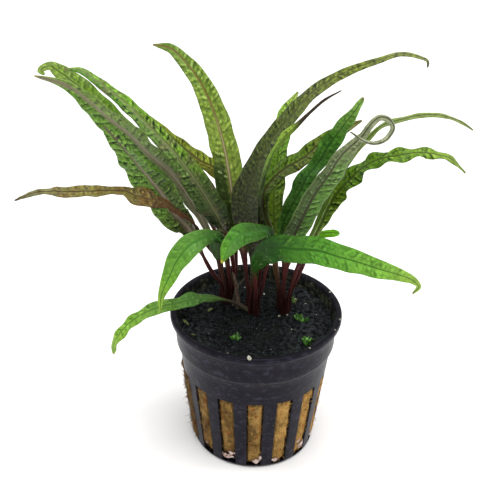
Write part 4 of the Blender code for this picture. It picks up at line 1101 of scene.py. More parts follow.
class PLANT_OT_wool(Operator):
    """Fill the pot with mineral wool"""

    bl_idname = "plant.wool"
    bl_label = "Mineral Wool"

    def execute(self, context):
        look = context.scene.plant_wool
        points, faces, out = wool_mesh()
        plug = new_piece("wool_plug", points, faces, wool_finish("wool_finish", look, 1.5, True), 60)
        give(plug, "shows", np.clip((out - 0.2) / 0.3, 0, 1))
        fibres = grow("wool_fibres", plug, fibre_tree(), {
            "Density": look.density, "Length": look.length, "Radius": look.thickness, "Seed": look.seed,
            "Material": wool_finish("fibre_finish", look, 2.0),
        })
        settle(plug, "mineral_wool", "growing_plug")
        settle(fibres, "mineral_wool")
        return {"FINISHED"}


# Soil and what lies on it


def soil_height(x, y):
    """Height of the soil: a low mound with small lumps."""
    share = np.hypot(x, y) / RIM_RADIUS
    lumps = SOIL_LUMPS * np.sin(0.62 * x + 1.1) * np.cos(0.55 * y - 0.4)
    return SOIL_EDGE + SOIL_MOUND * (1 - share**2) + lumps


def soil_mesh():
    """Points and faces of the soil: a closed disc with a crumbly top, and which points are on top."""
    columns = SOIL_COLUMNS
    edge = inner_radius(SOIL_EDGE) - SOIL_GAP
    rings = edge * np.sqrt(np.linspace(0.0006, 1, SOIL_RINGS))
    turn = np.arange(columns) * TURN / columns
    turns, radii = np.meshgrid(turn, rings)
    x = radii * np.cos(turns)
    y = radii * np.sin(turns)
    rough = 0.3 * uneven(x, y, 2.6, 31) + 0.2 * uneven(x, y, 1.2, 32, 9)
    z = soil_height(x, y) + rough * np.clip((edge - radii) / 1.5 + 0.3, 0, 1)
    top = np.stack([x, y, z], -1).reshape(-1, 3)
    low_edge = inner_radius(SOIL_BOTTOM) - 2 * SOIL_GAP
    bottom = np.stack([low_edge * np.cos(turn), low_edge * np.sin(turn), np.full(columns, SOIL_BOTTOM)], -1)
    points = np.vstack([top, bottom, (0, 0, float(z[0].mean())), (0, 0, SOIL_BOTTOM)])
    faces = bands(len(rings) + 1, columns, True)
    low = len(rings) * columns
    for k in range(columns):
        after = (k + 1) % columns
        faces += [(len(points) - 2, k, after), (len(points) - 1, low + after, low + k)]
    return points, faces, np.concatenate([np.ones(len(top)), np.zeros(columns), (1, 0)])


def soil_finish(name, look):
    """Damp charcoal soil with grains of many greys, a green cast and pale mineral specks."""
    made = Finish(name, 0.65, 0.12)
    grains = made.noise(0.45, 5, roughness=0.75)
    each = made.noise(1.1, 2)
    dark = np.array(look.colour)
    made.colour = made.ramp(made.math("ADD", made.times(grains, 0.65), made.times(each, 0.35)), (
        (0.4, 0.1 * dark), (0.5, dark), (0.57, "#1c2224"), (0.68, "#525a5c"),
    ))
    made.lay(made.noise(6, 3), 0.5, 0.66, 0.45, "#161f13")
    made.specks(0.9, 0.16, 0.1, (made.noise(1.6, 2), 0.56, 0.62), 0.8, "#7d8580")
    away = made.math("ABSOLUTE", made.math("ADD", made.axis("X"), 0.002))
    dry = made.between(away, *DRY_SOIL, 0.0, 0.45)
    made.cover(made.times(dry, made.between(each, 0.4, 0.6)), "#454a4c")
    made.bump(grains, 0.5, 1.0)
    return made.done()


def grain_tree():
    """Uneven grains scattered over the top of the soil, more of them small than large."""
    tree = Scatter("scattered_grains", "Smallest", "Largest", where="top")
    lump = tree.add("GeometryNodeMeshIcoSphere", {"Radius": 1.0, "Subdivisions": 1})
    few_large = tree.add("ShaderNodeMath", {0: tree.random(0.0, 1.0), 1: 2.5}, operation="POWER")
    size = tree.add("ShaderNodeMapRange", {
        "Value": few_large.outputs[0], "To Min": tree.given["Smallest"], "To Max": tree.given["Largest"],
    })
    squash = tree.random((0.7, 0.7, 0.5), (1.25, 1.25, 1.0), 4)
    turn = tree.random((0, 0, 0), (6.28, 6.28, 6.28))
    scale = tree.vector("SCALE", squash, {"Scale": size.outputs[0]})
    return tree.end(tree.copies(lump.outputs[0], turn, scale))


class PLANT_OT_soil(Operator):
    """Lay the dark soil on the wool"""

    bl_idname = "plant.soil"
    bl_label = "Soil"

    def execute(self, context):
        look = context.scene.plant_soil
        points, faces, top = soil_mesh()
        bed = new_piece("soil_bed", points, faces, soil_finish("soil_finish", look), 70)
        give(bed, "top", top)
        grains = grow("soil_grains", bed, grain_tree(), {
            "Density": look.density, "Smallest": look.smallest, "Largest": look.largest, "Seed": look.seed,
            "Material": soil_finish("grain_finish", look),
        })
        settle(bed, "soil", "potting_soil")
        settle(grains, "soil")
        return {"FINISHED"}


# Moss


def moss_base(x, y, radius, height):
    """Points and faces of the low lumpy cone that a tuft grows from."""
    around = 12
    turns = np.arange(around) * TURN / around
    levels = [(0.4, 0.0), (0.5, 0.2), (0.4, 0.4), (0.2, 0.5)]
    ground = float(soil_height(x, y)) - 0.2
    points = [
        (x + radius * share * math.cos(t), y + radius * share * math.sin(t), ground + height * level)
        for share, level in levels
        for t in turns
    ]
    last = len(points)
    points += [(x, y, ground), (x, y, ground + 0.52 * height)]
    faces = bands(len(levels), around)
    faces += [(last, (k + 1) % around, k) for k in range(around)]
    faces += [(last + 1, last - around + k, last - around + (k + 1) % around) for k in range(around)]
    return points, faces


def leaflet_mesh():
    """A small pointed leaflet, bent along its midrib, one unit long and closed."""
    rows = [(0.0, 0.07, 0.0), (0.35, 0.26, 0.05), (0.7, 0.22, 0.02), (1.0, 0.01, -0.08)]
    points = []
    for up, half, bow in rows:
        points += [(-half, bow + 0.06, up), (0, bow, up), (half, bow + 0.06, up), (0, bow + 0.05, up)]
    top = len(points) - 4
    mesh = bpy.data.meshes.new("leaflet")
    mesh.from_pydata(points, [], [(3, 2, 1, 0), *bands(len(rows), 4), (top, top + 1, top + 2, top + 3)])
    shape = bmesh.new()
    shape.from_mesh(mesh)
    bmesh.ops.recalc_face_normals(shape, faces=shape.faces)
    shape.to_mesh(mesh)
    shape.free()
    return bpy.data.objects.new("leaflet", mesh)


def sprout_tree(leaflet):
    """Leaflets that stand out of a tuft and lean upwards."""
    tree = Scatter("tuft_leaflets", "Length")
    shape = tree.add("GeometryNodeObjectInfo", {"Object": leaflet})
    lean = tree.vector("ADD", tree.points.outputs["Normal"], {1: (0, 0, 0.8)})
    turn = tree.stood(lean, (-0.5, -0.5, -3), (0.5, 0.5, 3))
    leaflets = tree.copies(shape.outputs["Geometry"], turn, tree.sized(0.6, 1.2))
    both = tree.add("GeometryNodeJoinGeometry", {0: leaflets})
    tree.tree.links.new(tree.given["Geometry"], both.inputs[0])
    return tree.end(both.outputs[0])


class PLANT_OT_moss(Operator):
    """Grow the small green tufts on the soil"""

    bl_idname = "plant.moss"
    bl_label = "Moss"

    def execute(self, context):
        look = context.scene.plant_moss
        made = Finish("moss_finish", 0.6)
        green = np.array(look.colour)
        made.colour = made.ramp(made.noise(0.9, 3), ((0.34, 0.15 * green), (0.5, green), (0.66, "#7cb84a")))
        made.lay(made.axis("Z"), *MOSS_FOOT, 1.0, "#10180c")
        finish = made.done()
        leaflet = leaflet_mesh()
        tree = sprout_tree(leaflet)
        for number, (node, spot) in enumerate({**MOSS_TUFTS, "moss_sprig": MOSS_SPRIG}.items()):
            base = new_piece(node + "_base", *moss_base(*spot), finish, 60)
            tuft = grow(node.replace("tuft", "sprouts"), base, tree, {
                "Density": look.density, "Length": look.length, "Seed": look.seed + number,
                "Material": finish,
            })
            bpy.data.objects.remove(base)
            settle(tuft, "moss", *([node] if node in MOSS_TUFTS else []))
        bpy.data.objects.remove(leaflet)
        return {"FINISHED"}


# Litter


def crumb(rng, at, size, flat):
    """Points and faces of a small uneven crumb."""
    shape = bmesh.new()
    bmesh.ops.create_icosphere(shape, subdivisions=2, radius=1.0)
    lump = rng.uniform(-1, 1, (4, 3))
    turn = Matrix.Rotation(rng.uniform(0, TURN), 3, "Z")
    points = []
    for vertex in shape.verts:
        p = np.array(vertex.co)
        swell = 1 + 0.22 * np.sin(2.3 * (p @ lump.T)).sum()
        p = turn @ Vector(p * swell * (1.2, 0.8, flat))
        points.append([at[k] + size * p[k] for k in range(3)])
    faces = [[v.index for v in face.verts] for face in shape.faces]
    shape.free()
    return points, faces


def shred(start, end, width, rng, out=(0, 0, 1)):
    """Points and faces of a thin flat shred, a little bent, from start to end, that faces out."""
    start = np.asarray(start, float)
    end = np.asarray(end, float)
    ahead = unit(end - start)
    across = unit(np.cross(ahead, out))
    up = np.cross(across, ahead)
    points = []
    steps = 9
    for k in range(steps):
        share = k / (steps - 1)
        half = 0.5 * width * (0.25 + math.sin(math.pi * min(0.95, share + 0.06)) * rng.uniform(0.7, 1.1))
        centre = start + share * (end - start) + 0.12 * width * math.sin(5 * share) * across
        centre = centre + (0.3 * width * math.sin(math.pi * share)) * up
        raised = FLAKE_THICKNESS * up
        points += [centre - half * across, centre + raised, centre + half * across, centre - raised]
    faces = [(0, 1, 2, 3)]
    for k in range(steps - 1):
        for j in range(4):
            after = (j + 1) % 4
            faces.append((4 * k + j, 4 * k + 4 + j, 4 * k + 4 + after, 4 * k + after))
    last = 4 * (steps - 1)
    faces.append((last + 3, last + 2, last + 1, last))
    return points, faces


def joined(parts):
    """The points and faces of several small shapes as one."""
    points = []
    faces = []
    for some, around in parts:
        faces += [[len(points) + k for k in face] for face in around]
        points += list(some)
    return points, faces


def litter_piece(name, kind, shapes, relief=0.0):
    """One object of many small shapes, closed and settled on the part, with a mottled finish."""
    roughness, gloss, size, detail, tones = LITTER[kind]
    made = Finish(kind + "_finish", roughness, gloss)
    made.colour = made.ramp(made.noise(size, detail), tones)
    if relief:
        made.bump(made.noise(0.8, 3), relief, 0.8)
    piece = new_piece(name, *joined(shapes), made.done(), 50)
    close_mesh(piece)
    settle(piece, "soil")


class PLANT_OT_litter(Operator):
    """Drop pale crumbs, shreds and papery skins on the pot and the soil"""

    bl_idname = "plant.litter"
    bl_label = "Litter"

    def execute(self, context):
        rng = np.random.default_rng(41)
        crumbs = [crumb(rng, (x, y, POT_HEIGHT + 0.3 * size), size, 0.6) for x, y, size in RIM_CRUMBS]
        crumbs += [
            crumb(rng, (x, y, float(soil_height(x, y)) + 0.35 + 0.3 * size), size, 0.7)
            for x, y, size in SOIL_CRUMBS
        ]
        shreds = []
        for *ends, wide in SHREDS:
            start, end = [(x, y, float(soil_height(x, y)) + up) for x, y, up in (ends[:3], ends[3:])]
            shreds.append(shred(start, end, wide, rng))
        skins = []
        for angle, height, length, width in PAPER_BITS:
            out = np.array([math.cos(math.radians(angle)), math.sin(math.radians(angle)), 0.0])
            middle = (wall_radius(height) - 0.35) * out + (0, 0, height)
            ahead = 0.5 * length * np.array([-out[1], out[0], rng.uniform(-0.35, 0.35)])
            skins.append(shred(middle - ahead, middle + ahead, width, rng, out))
        litter_piece("pale_crumbs", "crumb", crumbs)
        litter_piece("leaf_shreds", "shred", shreds)
        litter_piece("papery_skins", "paper", skins, 0.3)
        return {"FINISHED"}


# Leaves


def cubic(marks, values, at):
    """A smooth curve through values at marks, read at the places at."""
    marks = np.asarray(marks, float)
    values = np.asarray(values, float)
    steps = np.diff(marks)
    slopes = np.diff(values, axis=0) / steps[:, None]
    tangents = np.empty_like(values)
    tangents[0] = slopes[0]
    tangents[-1] = slopes[-1]
    weights = (steps[1:] + steps[:-1])[:, None]
    tangents[1:-1] = (slopes[:-1] * steps[1:, None] + slopes[1:] * steps[:-1, None]) / weights
    piece = np.clip(np.searchsorted(marks, at, side="right") - 1, 0, len(marks) - 2)
    step = steps[piece][:, None]
    q = ((at - marks[piece])[:, None]) / step
    return (
        (2 * q**3 - 3 * q**2 + 1) * values[piece]
        + (q**3 - 2 * q**2 + q) * step * tangents[piece]
        + (3 * q**2 - 2 * q**3) * values[piece + 1]
        + (q**3 - q**2) * step * tangents[piece + 1]
    )


def unit(vectors):
    """The vectors at length one."""
    return vectors / np.linalg.norm(vectors, axis=-1, keepdims=True)


def blend_in(values, start, end):
    """0 up to start, 1 from end on, and smooth between."""
    share = np.clip((values - start) / (end - start), 0, 1)
    return share * share * (3 - 2 * share)


def stations(marks, widths):
    """Places along a leaf: far apart on the stalk and close on the blade."""
    places = [0.0]
    while places[-1] < marks[-1] - 0.1:
        ahead = np.interp(places[-1] + STALK_STEP, marks, widths)
        step = BLADE_STEP if ahead > 1.3 * STALK_THICKNESS or places[-1] > 0.6 * marks[-1] else STALK_STEP
        places.append(places[-1] + step)
    places[-1] = marks[-1]
    return np.array(places)


def smoothed(values, at, reach):
    """The values averaged over reach millimetres along the leaf."""
    fine = np.arange(0, at[-1] + 0.1, 0.2)
    count = max(3, int(reach / 0.2) | 1)
    kernel = np.hanning(count + 2)[1:-1]
    spread = np.interp(fine, at, values)
    padded = np.pad(spread, count // 2, mode="edge")
    return np.interp(at, fine, np.convolve(padded, kernel / kernel.sum(), mode="valid"))


def chance(i, j, seed):
    """A number from 0 to 1 that looks random, for each pair of whole numbers."""
    mixed = np.sin(12.9898 * i + 78.233 * j + 37.719 * seed) * 43758.5453
    return mixed - np.floor(mixed)


def swellings(run, side, gap, wide, seed):
    """The swollen skin between a net of veins, whose meshes are about gap long and wide across.

    Gives 0 in the veins and 1 on the swellings, and a number from 0 to 1 for each swelling.
    """
    v = side / wide
    column = np.floor(v)
    best = np.full(v.shape, 9.0)
    second = np.full(v.shape, 9.0)
    level = np.zeros(v.shape)
    for j in (column - 1, column, column + 1):
        u = run / gap + 0.5 * np.mod(j, 2)
        for i in (np.floor(u) - 1, np.floor(u), np.floor(u) + 1):
            du = i + 0.5 + 0.5 * (chance(i, j, seed) - 0.5) - u
            dv = j + 0.5 + 0.4 * (chance(i, j, seed + 1) - 0.5) - v
            far = np.hypot(du, dv)
            nearer = far < best
            second = np.where(nearer, best, np.minimum(second, far))
            level = np.where(nearer, chance(i, j, seed + 2), level)
            best = np.where(nearer, far, best)
    return blend_in(second - best, 0.0, 0.5), level


def pleats(run, side, gap, seed):
    """The folds over the veins that leave the midrib, about gap apart and not the same in both halves.

    Gives 1 in the middle of a crease, and 1 on the bright ridge on its far side.
    """
    half = np.where(side < 0, 3, 5)
    u = run / gap + np.where(side < 0, 0, 0.45)
    i = np.floor(u)
    f = u - i
    before = 0.15 + 0.85 * chance(i, half, seed)
    after = 0.15 + 0.85 * chance(i + 1, half, seed)
    crease = before * np.exp(-((f / 0.14) ** 2)) + after * np.exp(-(((1 - f) / 0.14) ** 2))
    ridge = before * np.exp(-(((f - 0.26) / 0.12) ** 2))
    return crease, ridge


def leaf_line(leaf):
    """How a leaf runs: places along it, and the centre, normal, sideways direction and width at each."""
    rows = np.asarray(leaf["route"], float)
    start = unit(rows[1, :3] - rows[0, :3])
    root = np.append(rows[0, :3] - ROOT_DEPTH * start, rows[0, 3])
    rows = np.vstack([root, rows])
    marks = np.concatenate([[0], np.cumsum(np.linalg.norm(np.diff(rows[:, :3], axis=0), axis=1))])
    total = marks[-1]
    at = stations(marks, rows[:, 3])
    centres = cubic(marks, rows[:, :3], at)
    towards = CROWNS[np.argmin(np.linalg.norm(CROWNS - centres[0, :2], axis=1))] - centres[0, :2]
    pull = min(leaf["pull"], MOST_PULL / np.linalg.norm(towards)) * (1 - blend_in(at, ROOT_DEPTH + 1, 15))
    centres[:, :2] += pull[:, None] * towards
    along = unit(np.gradient(centres, at, axis=0))
    face_marks = np.array(FACE_PLACES) * total
    looks = np.stack([np.interp(at, face_marks, [f[k] for f in leaf["face"]]) for k in range(3)], -1)
    normals = unit(looks - (looks * along).sum(1, keepdims=True) * along)

    width = np.interp(at, marks, rows[:, 3])
    last = np.clip((at - marks[-2]) / (total - marks[-2]), 0, 1)
    full = rows[-1, 3] + (rows[-2, 3] - rows[-1, 3]) * (1 - last ** leaf["blunt"])
    width = smoothed(np.where(last > 0, full, width), at, WIDTH_SMOOTHING)
    width = np.minimum(width, 2.2 * np.sqrt(total - at) + 0.3)
    return at, centres, normals, np.cross(along, normals), width


def leaf_relief(leaf, mm, across, half, seed):
    """Height of a blade's swellings and pleats, and the painted shade and highlight from 0 to 1 that go with
    them.
    """
    far = np.abs(across)
    y = far * half
    height, gap, wide = leaf["bumps"]
    slanted = mm - 0.6 * y + 0.25 * gap * uneven(mm, across * 3, 3 * gap, seed + 4)
    dome, level = swellings(slanted, across * half, 0.62 * gap, 0.62 * wide, seed + 5)
    crease, ridge = pleats(slanted, across, 1.15 * gap, seed + 9)
    strength = np.clip(0.85 + 0.4 * uneven(mm, across * 5, 9, seed + 6), 0.1, 1.4)
    window = blend_in(far, 0.05, 0.22) * (1 - 0.7 * far**6) * blend_in(half, 0.7, 2.2)
    cells = uneven(mm, y * np.sign(across), 1.3, seed + 7, 9)
    swollen = 0.55 * (dome - 0.55) * (0.4 + level) + 0.9 * (0.3 - crease) + 0.2 * ridge
    # tone is painted light: shade in the creases, highlight on the ridges and on the tops of the swellings
    tone = 0.5 * ridge - 0.6 * crease + 0.55 * (dome - 0.6) * (0.3 + level)
    shade = np.clip(0.5 + (strength * tone + 0.1 * cells) * window, 0, 1)
    return height * window * (strength * swollen + 0.18 * cells), shade


def leaf_surface(leaf, look, seed):
    """Everything about a leaf's shape: its points, faces and the numbers its material reads."""
    at, centres, normals, sideways, width = leaf_line(leaf)
    total = at[-1]
    widest = int(np.argmax(width))
    narrow = np.nonzero(width[:widest] < 1.25 * STALK_THICKNESS)[0]
    blade_start = at[narrow[-1]] if len(narrow) else 0.3 * total
    leafy, green = [blend_in(at, start - 3, start + 4) for start in (blade_start, blade_start + leaf["late"])]
    width = width * (1 - STALK_SLIM * (1 - leafy)) * (1 + FOOT_SWELL * (1 - blend_in(at, ROOT_DEPTH + 1, 9)))
    width = width * (1 - 0.5 * np.clip(leafy - green, 0, 1))
    opened = np.maximum(blend_in(width, 1.15 * STALK_THICKNESS, 3.4 * STALK_THICKNESS),
                        0.85 * blend_in(at, blade_start, blade_start + 9))
    opened = opened[:, None]

    s = ACROSS[None, :]
    far = np.abs(s)
    mm = at[:, None]
    blade = np.clip((at - blade_start) / (total - blade_start), 0, 1)
    edges = []
    for k in (0, 1):
        low, high = leaf["sides"][k::2]
        wider = low + (high - low) * blade
        edges.append(1 + (wider - 1) * leafy + leaf["ragged"] * uneven(at, 0 * at, 7, seed + 1 + k))
    half = 0.5 * width[:, None] * np.where(s < 0, edges[0][:, None], edges[1][:, None])
    y = far * half
    wave_height, wave_length = leaf["wave"]
    phase = TURN * (mm - ROOT_DEPTH + 0.08 * wave_length * uneven(mm, 0 * mm, 2.5 * wave_length, seed + 3))
    ripple = np.sin(phase / wave_length + np.where(s < 0, 0, 2.2)) * wave_height * far**1.6
    ripple = ripple * leaf["ripple"] * (width / width.max())[:, None] ** 0.7

    soft = np.sqrt(far**2 + 0.012) - math.sqrt(0.012)
    raise_angle = np.radians(leaf["fold"]) * opened
    lift = half * (soft * np.sin(raise_angle) - leaf["arch"] * far**3 * opened)
    reach = s * half * np.cos(raise_angle)
    swollen, shade = leaf_relief(leaf, mm, s, half, seed)
    relief = look.relief * opened * swollen
    relief = relief + leaf["crumple"] * opened * uneven(mm, s * half, 2.6, seed + 8, 9)

    rib = np.exp(-((y / 0.5) ** 2)) * (1 - 0.65 * mm / total)
    sheet = 0.5 * look.thickness / MM * (1 - far**8) ** 0.5
    stalk = 0.5 * np.minimum(1.3 * STALK_THICKNESS, width)[:, None] * np.sqrt(1 - far**2)
    above, below = [opened * (sheet + share * rib) + (1 - opened) * stalk for share in RIB_SHARES]

    middle = centres[:, None, :] + reach[..., None] * sideways[:, None, :]
    offset = lift + opened * ripple + relief
    top = middle + (offset + above)[..., None] * normals[:, None, :]
    bottom = middle + (offset - below)[..., None] * normals[:, None, :]

    count = len(ACROSS)
    inner = slice(count - 2, 0, -1)
    around = 2 * count - 2
    rings = len(at) - 1
    points = np.concatenate([top, bottom[:, inner]], axis=1)[:-1]
    points = np.vstack([points.reshape(-1, 3), centres[-1]])

    def at_points(upper, lower=None):
        """Values for the points, from those above and those below."""
        upper = np.broadcast_to(upper, (len(at), count))
        lower = upper if lower is None else np.broadcast_to(lower, (len(at), count))
        values = np.concatenate([upper, lower[:, inner]], axis=1)[:-1]
        return np.append(values.ravel(), values[-1].mean())

    numbers = {
        "across": at_points(s),
        "along": at_points(blade[:, None]),
        "run": at_points(mm),
        "side": at_points(s * half),
        # the painted shade and highlight that leaf_relief gives, read by the material
        "relief": at_points(shade),
        "leafy": at_points(green[:, None]),
        "under": at_points(0.0, 1.0),
    }
    low = (rings - 1) * around
    faces = [list(reversed(range(around)))] + bands(rings, around)
    faces += [(low + k, low + (k + 1) % around, rings * around) for k in range(around)]
    return points, faces, numbers


def leaf_finish(name, skin, look):
    """A leaf's skin: its greens along the blade, painted shade in the creases and painted highlights on the
    ridges, painted shade on the foot of the blade, a coloured midrib and a dark stalk that is darker still
    towards the soil, partly as painted shade.
    """
    made = Finish(name, look.roughness, 0.12)
    colours = {part: pigment(code) for part, code in skin.items() if isinstance(code, str)}
    across, along, side, run, relief = map(made.attribute, ("across", "along", "side", "run", "relief"))
    far = made.math("ABSOLUTE", across)
    from_rib = made.math("ABSOLUTE", side)
    flat = made.node("ShaderNodeCombineXYZ", {"X": side, "Y": run}).outputs[0]
    broad = made.noise(4.5, 3, place=flat)
    dapple = made.noise(1.3, 3, (1, 0.8, 1), 0.6, flat)
    small = made.noise(0.75, 4, (1, 0.8, 1), 0.7, flat)
    fibres = made.noise(0.28, 3, (1, 0.07, 1), 0.6, flat)
    fine = made.noise(0.8, 4, roughness=0.6)
    wander = made.math("ADD", along, made.centred(broad, 0.1))

    shades = [pigment(code) for code in skin["shades"]]
    made.colour = made.ramp(wander, [(k / (len(shades) - 1), shade) for k, shade in enumerate(shades)])
    for half, code, strength, start, end in skin["halves"]:
        share = made.between(made.times(across, half), 0.02, 0.3, 0.0, strength)
        share = made.times(share, made.between(wander, start - 0.06, start + 0.06))
        made.cover(made.times(share, made.between(wander, end + 0.04, end - 0.04)), pigment(code))

    made.lay(broad, 0.5, 0.64, skin["patchy"], colours["patch"])
    made.lay(dapple, 0.5, 0.34, skin["dapple"], colours["crease"])
    made.lay(dapple, 0.52, 0.7, skin["dapple"], LIFT, "MULTIPLY")
    made.lay(small, 0.49, 0.34, skin["grain"], DIM, "MULTIPLY")
    made.lay(small, 0.53, 0.68, skin["grain"], LIFT, "MULTIPLY")
    # painted shade in the creases, partly their own darker colour
    made.lay(relief, 0.5, 0.12, min(1, 1.15 * skin["depth"]), colours["crease"])
    # painted highlights on the ridges and the tops of the swellings
    raised = made.math("ADD", relief, made.times(fine, 0.3))
    made.lay(raised, 0.66, 0.9, skin["shine"], LIFT, "MULTIPLY")
    made.lay(raised, 0.8, 1.1, 0.7 * skin["shine"], colours["light"])

    band = made.math("ADD", from_rib, made.centred(fibres, 1.4))
    band = made.times(band, made.between(along, 0.3, 0.8, 0.75, 1.7))
    streaked = made.mix(made.between(fibres, 0.5, 0.66, 0.0, 0.55), colours["band_colour"], colours["rib"])
    made.lay(band, skin["band_width"], 0.4 * skin["band_width"], skin["band"], streaked)
    narrowing = made.times(from_rib, made.between(along, 0.3, 1.0, 1.0, 2.6))
    wide = skin["rib_width"]
    core = made.between(wander, skin["rib_core"] + 0.12, skin["rib_core"] - 0.12)
    core = made.times(made.between(narrowing, 0.6 * wide, 0.3 * wide), core)
    rib = made.between(narrowing, wide, 0.6 * wide, 0.0, skin["rib_strength"])
    rib = made.times(rib, made.between(far, 0.6, 0.35))
    made.cover(rib, made.mix(core, colours["rib_dark"], colours["rib"]))

    # painted shade on the foot of the blade, in patches
    shaded = made.between(wander, skin["foot_shade_end"], 0.4 * skin["foot_shade_end"] - 0.05, 0.0, skin["foot_shade"])
    shaded = made.times(shaded, made.between(small, 0.56, 0.44, skin["foot_shade_low"], 1.0))
    made.cover(shaded, pigment("#0f0d08"))
    made.lay(far, 0.9, 0.99, skin["edge_strength"], colours["edge"])
    made.lay(along, *skin["tip_from"], 1.0, colours["tip"])
    made.cover(made.times(made.attribute("under"), skin["under_strength"]), colours["under"])

    # the stalk is darker towards the soil, partly painted shade among the crowns, and its pale streaks are
    # partly painted highlights
    lit = made.mix(made.between(run, 4.0, 22.0), colours["stalk_low"], colours["stalk"])
    stalk = made.mix(made.between(fibres, 0.35, 0.6), made.mix(0.45, lit, pigment("#140a0a")), lit)
    stalk = made.mix(made.between(fibres, 0.6, 0.75, 0.0, 0.45), stalk, colours["stalk_light"])
    made.colour = made.mix(made.attribute("leafy"), stalk, made.colour)
    made.bump(fibres, 0.06, 0.5)
    made.bump(fine, 0.12, 0.55)
    return made.done(made.between(fine, 0.3, 0.8, look.roughness - 0.08, look.roughness + 0.16))


class PLANT_OT_leaves(Operator):
    """Grow every leaf with its stalk"""

    bl_idname = "plant.leaves"
    bl_label = "Leaves"

    def execute(self, context):
        look = context.scene.plant_leaf
        for number, (node, leaf) in enumerate(LEAVES.items()):
            leaf = {**PLAIN_SKIN, **SKINS[node], **leaf}
            points, faces, numbers = leaf_surface(leaf, look, LEAF_SEED + SEED_STEP * number)
            piece = new_piece(node + "_blade", points, faces, leaf_finish(node + "_finish", leaf, look), 65)
            for name, values in numbers.items():
                give(piece, name, values)
            settle(piece, "withered_leaf" if node == "withered_leaf" else "leaf", node)
        return {"FINISHED"}


class PLANT_OT_old_stalks(Operator):
    """Stand the short dead stalks between the leaves"""

    bl_idname = "plant.old_stalks"
    bl_label = "Old Stalks"

    def execute(self, context):
        look = context.scene.plant_leaf
        for number, (node, (dark, pale, route)) in enumerate(OLD_STALKS.items()):
            stalk = {**PLAIN_SKIN, "route": route, "face": [(0, -1, 0.3)] * 3, "fold": 0, "wave": (0.1, 4),
                     "pull": 0.0}
            points, faces, _ = leaf_surface(stalk, look, STALK_SEED + SEED_STEP * number)
            made = Finish(node + "_finish", 0.8, 0.15)
            streaks = made.noise(0.5, 4, (1, 1, 0.15), 0.6)
            made.colour = made.ramp(streaks, [(0.35, pigment(dark)), (0.62, pigment(pale))])
            made.bump(streaks, 0.2, 0.8)
            settle(new_piece(node + "_dry", points, faces, made.done(), 65), "dead_stalk", node)
        return {"FINISHED"}


# Stage


def area_light(name, at, width, power):
    """A square soft light that shines on the plant."""
    data = bpy.data.lights.new(name, "AREA")
    data.shape = "SQUARE"
    data.size = width
    data.energy = power
    lamp = bpy.data.objects.new(name, data)
    lamp.location = at
    lamp.rotation_euler = (Vector(LAMP_AIM) - Vector(at)).to_track_quat("-Z", "Y").to_euler()
    bpy.context.scene.collection.objects.link(lamp)


def camera_turn(elevation, yaw, pitch, roll):
    """The camera's turn: it looks at the rim from in front and above, then turns a little."""
    tilt = math.radians(elevation)
    back = Vector((0, -math.cos(tilt), math.sin(tilt)))
    right = Vector((1, 0, 0))
    ahead = -back
    up = right.cross(ahead)
    by_yaw = Matrix.Rotation(math.radians(yaw), 3, up)
    ahead = by_yaw @ ahead
    right = by_yaw @ right
    by_pitch = Matrix.Rotation(math.radians(pitch), 3, right)
    ahead = by_pitch @ ahead
    up = by_pitch @ up
    by_roll = Matrix.Rotation(math.radians(roll), 3, ahead)
    right = by_roll @ right
    up = by_roll @ up
    return back, Matrix((right, up, -ahead)).transposed()


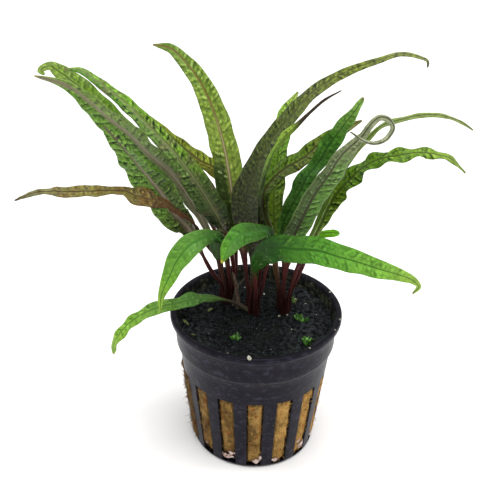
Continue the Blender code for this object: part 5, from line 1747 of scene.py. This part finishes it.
class PLANT_OT_stage(Operator):
    """Lay the floor, hang the lights and set the camera"""

    bl_idname = "plant.stage"
    bl_label = "Stage"

    def execute(self, context):
        look = context.scene.plant_stage
        made = Finish("floor_finish", 0.75, 0.2)
        made.colour = tuple(look.floor)
        made.lay(made.noise(60, 2), 0.3, 0.7, 0.06, (0.88, 0.87, 0.85))
        far = GROUND_REACH
        corners = [(x, y, GROUND_HEIGHT) for x, y in ((-far, -far), (far, -far), (far, far), (-far, far))]
        new_piece("floor", corners, [(0, 1, 2, 3)], made.done())

        world = bpy.data.worlds.new("surround")
        world.use_nodes = True
        sky = world.node_tree.nodes["Background"]
        sky.inputs["Color"].default_value = (1, 1, 1, 1)
        sky.inputs["Strength"].default_value = look.surround
        context.scene.world = world
        for name, (at, width, share) in LAMPS.items():
            area_light(name, at, width, share * look.key)

        back, turn = camera_turn(CAMERA_ELEVATION, CAMERA_YAW, CAMERA_PITCH, CAMERA_ROLL)
        data = bpy.data.cameras.new("camera")
        data.lens = look.lens
        data.sensor_width = 36.0
        data.clip_start = 0.01
        camera = bpy.data.objects.new("camera", data)
        place = Vector((0, 0, POT_HEIGHT * MM)) + look.distance * back
        camera.matrix_world = Matrix.Translation(place) @ turn.to_4x4()
        context.scene.collection.objects.link(camera)
        context.scene.camera = camera
        context.scene.view_settings.view_transform = "Standard"
        return {"FINISHED"}


LOOKS = {
    "plant_pot": PotLook, "plant_wool": WoolLook, "plant_soil": SoilLook, "plant_moss": MossLook,
    "plant_leaf": LeafLook, "plant_stage": StageLook,
}
# The operators in their order, each with its icon
STEPS = {
    PLANT_OT_stage: "WORLD",
    PLANT_OT_net_pot: "MESH_CYLINDER",
    PLANT_OT_wool: "OUTLINER_OB_HAIR",
    PLANT_OT_soil: "OUTLINER_OB_POINTCLOUD",
    PLANT_OT_moss: "PARTICLES",
    PLANT_OT_litter: "OUTLINER_OB_MESH",
    PLANT_OT_leaves: "OUTLINER_OB_CURVE",
    PLANT_OT_old_stalks: "CURVE_PATH",
}


class PLANT_PT_sidebar(Panel):
    """Lists the plant's steps and looks"""

    bl_idname = "PLANT_PT_sidebar"
    bl_label = "Water Plant"
    bl_space_type = "VIEW_3D"
    bl_region_type = "UI"
    bl_category = "Water Plant"

    def draw(self, context):
        column = self.layout.column(align=True)
        for step, icon in STEPS.items():
            column.operator(step.bl_idname, icon=icon)
        for name in LOOKS:
            box = self.layout.box()
            look = getattr(context.scene, name)
            for key in look.bl_rna.properties.keys():
                if key not in ("rna_type", "name"):
                    box.prop(look, key)


CLASSES = (*LOOKS.values(), *STEPS, PLANT_PT_sidebar)


def register():
    for kind in CLASSES:
        bpy.utils.register_class(kind)
    for name, kind in LOOKS.items():
        setattr(bpy.types.Scene, name, PointerProperty(type=kind))


def unregister():
    for name in LOOKS:
        delattr(bpy.types.Scene, name)
    for kind in reversed(CLASSES):
        bpy.utils.unregister_class(kind)


def main():
    register()
    for step in STEPS:
        group, name = step.bl_idname.split(".")
        getattr(getattr(bpy.ops, group), name)()


if __name__ == "__main__":
    main()
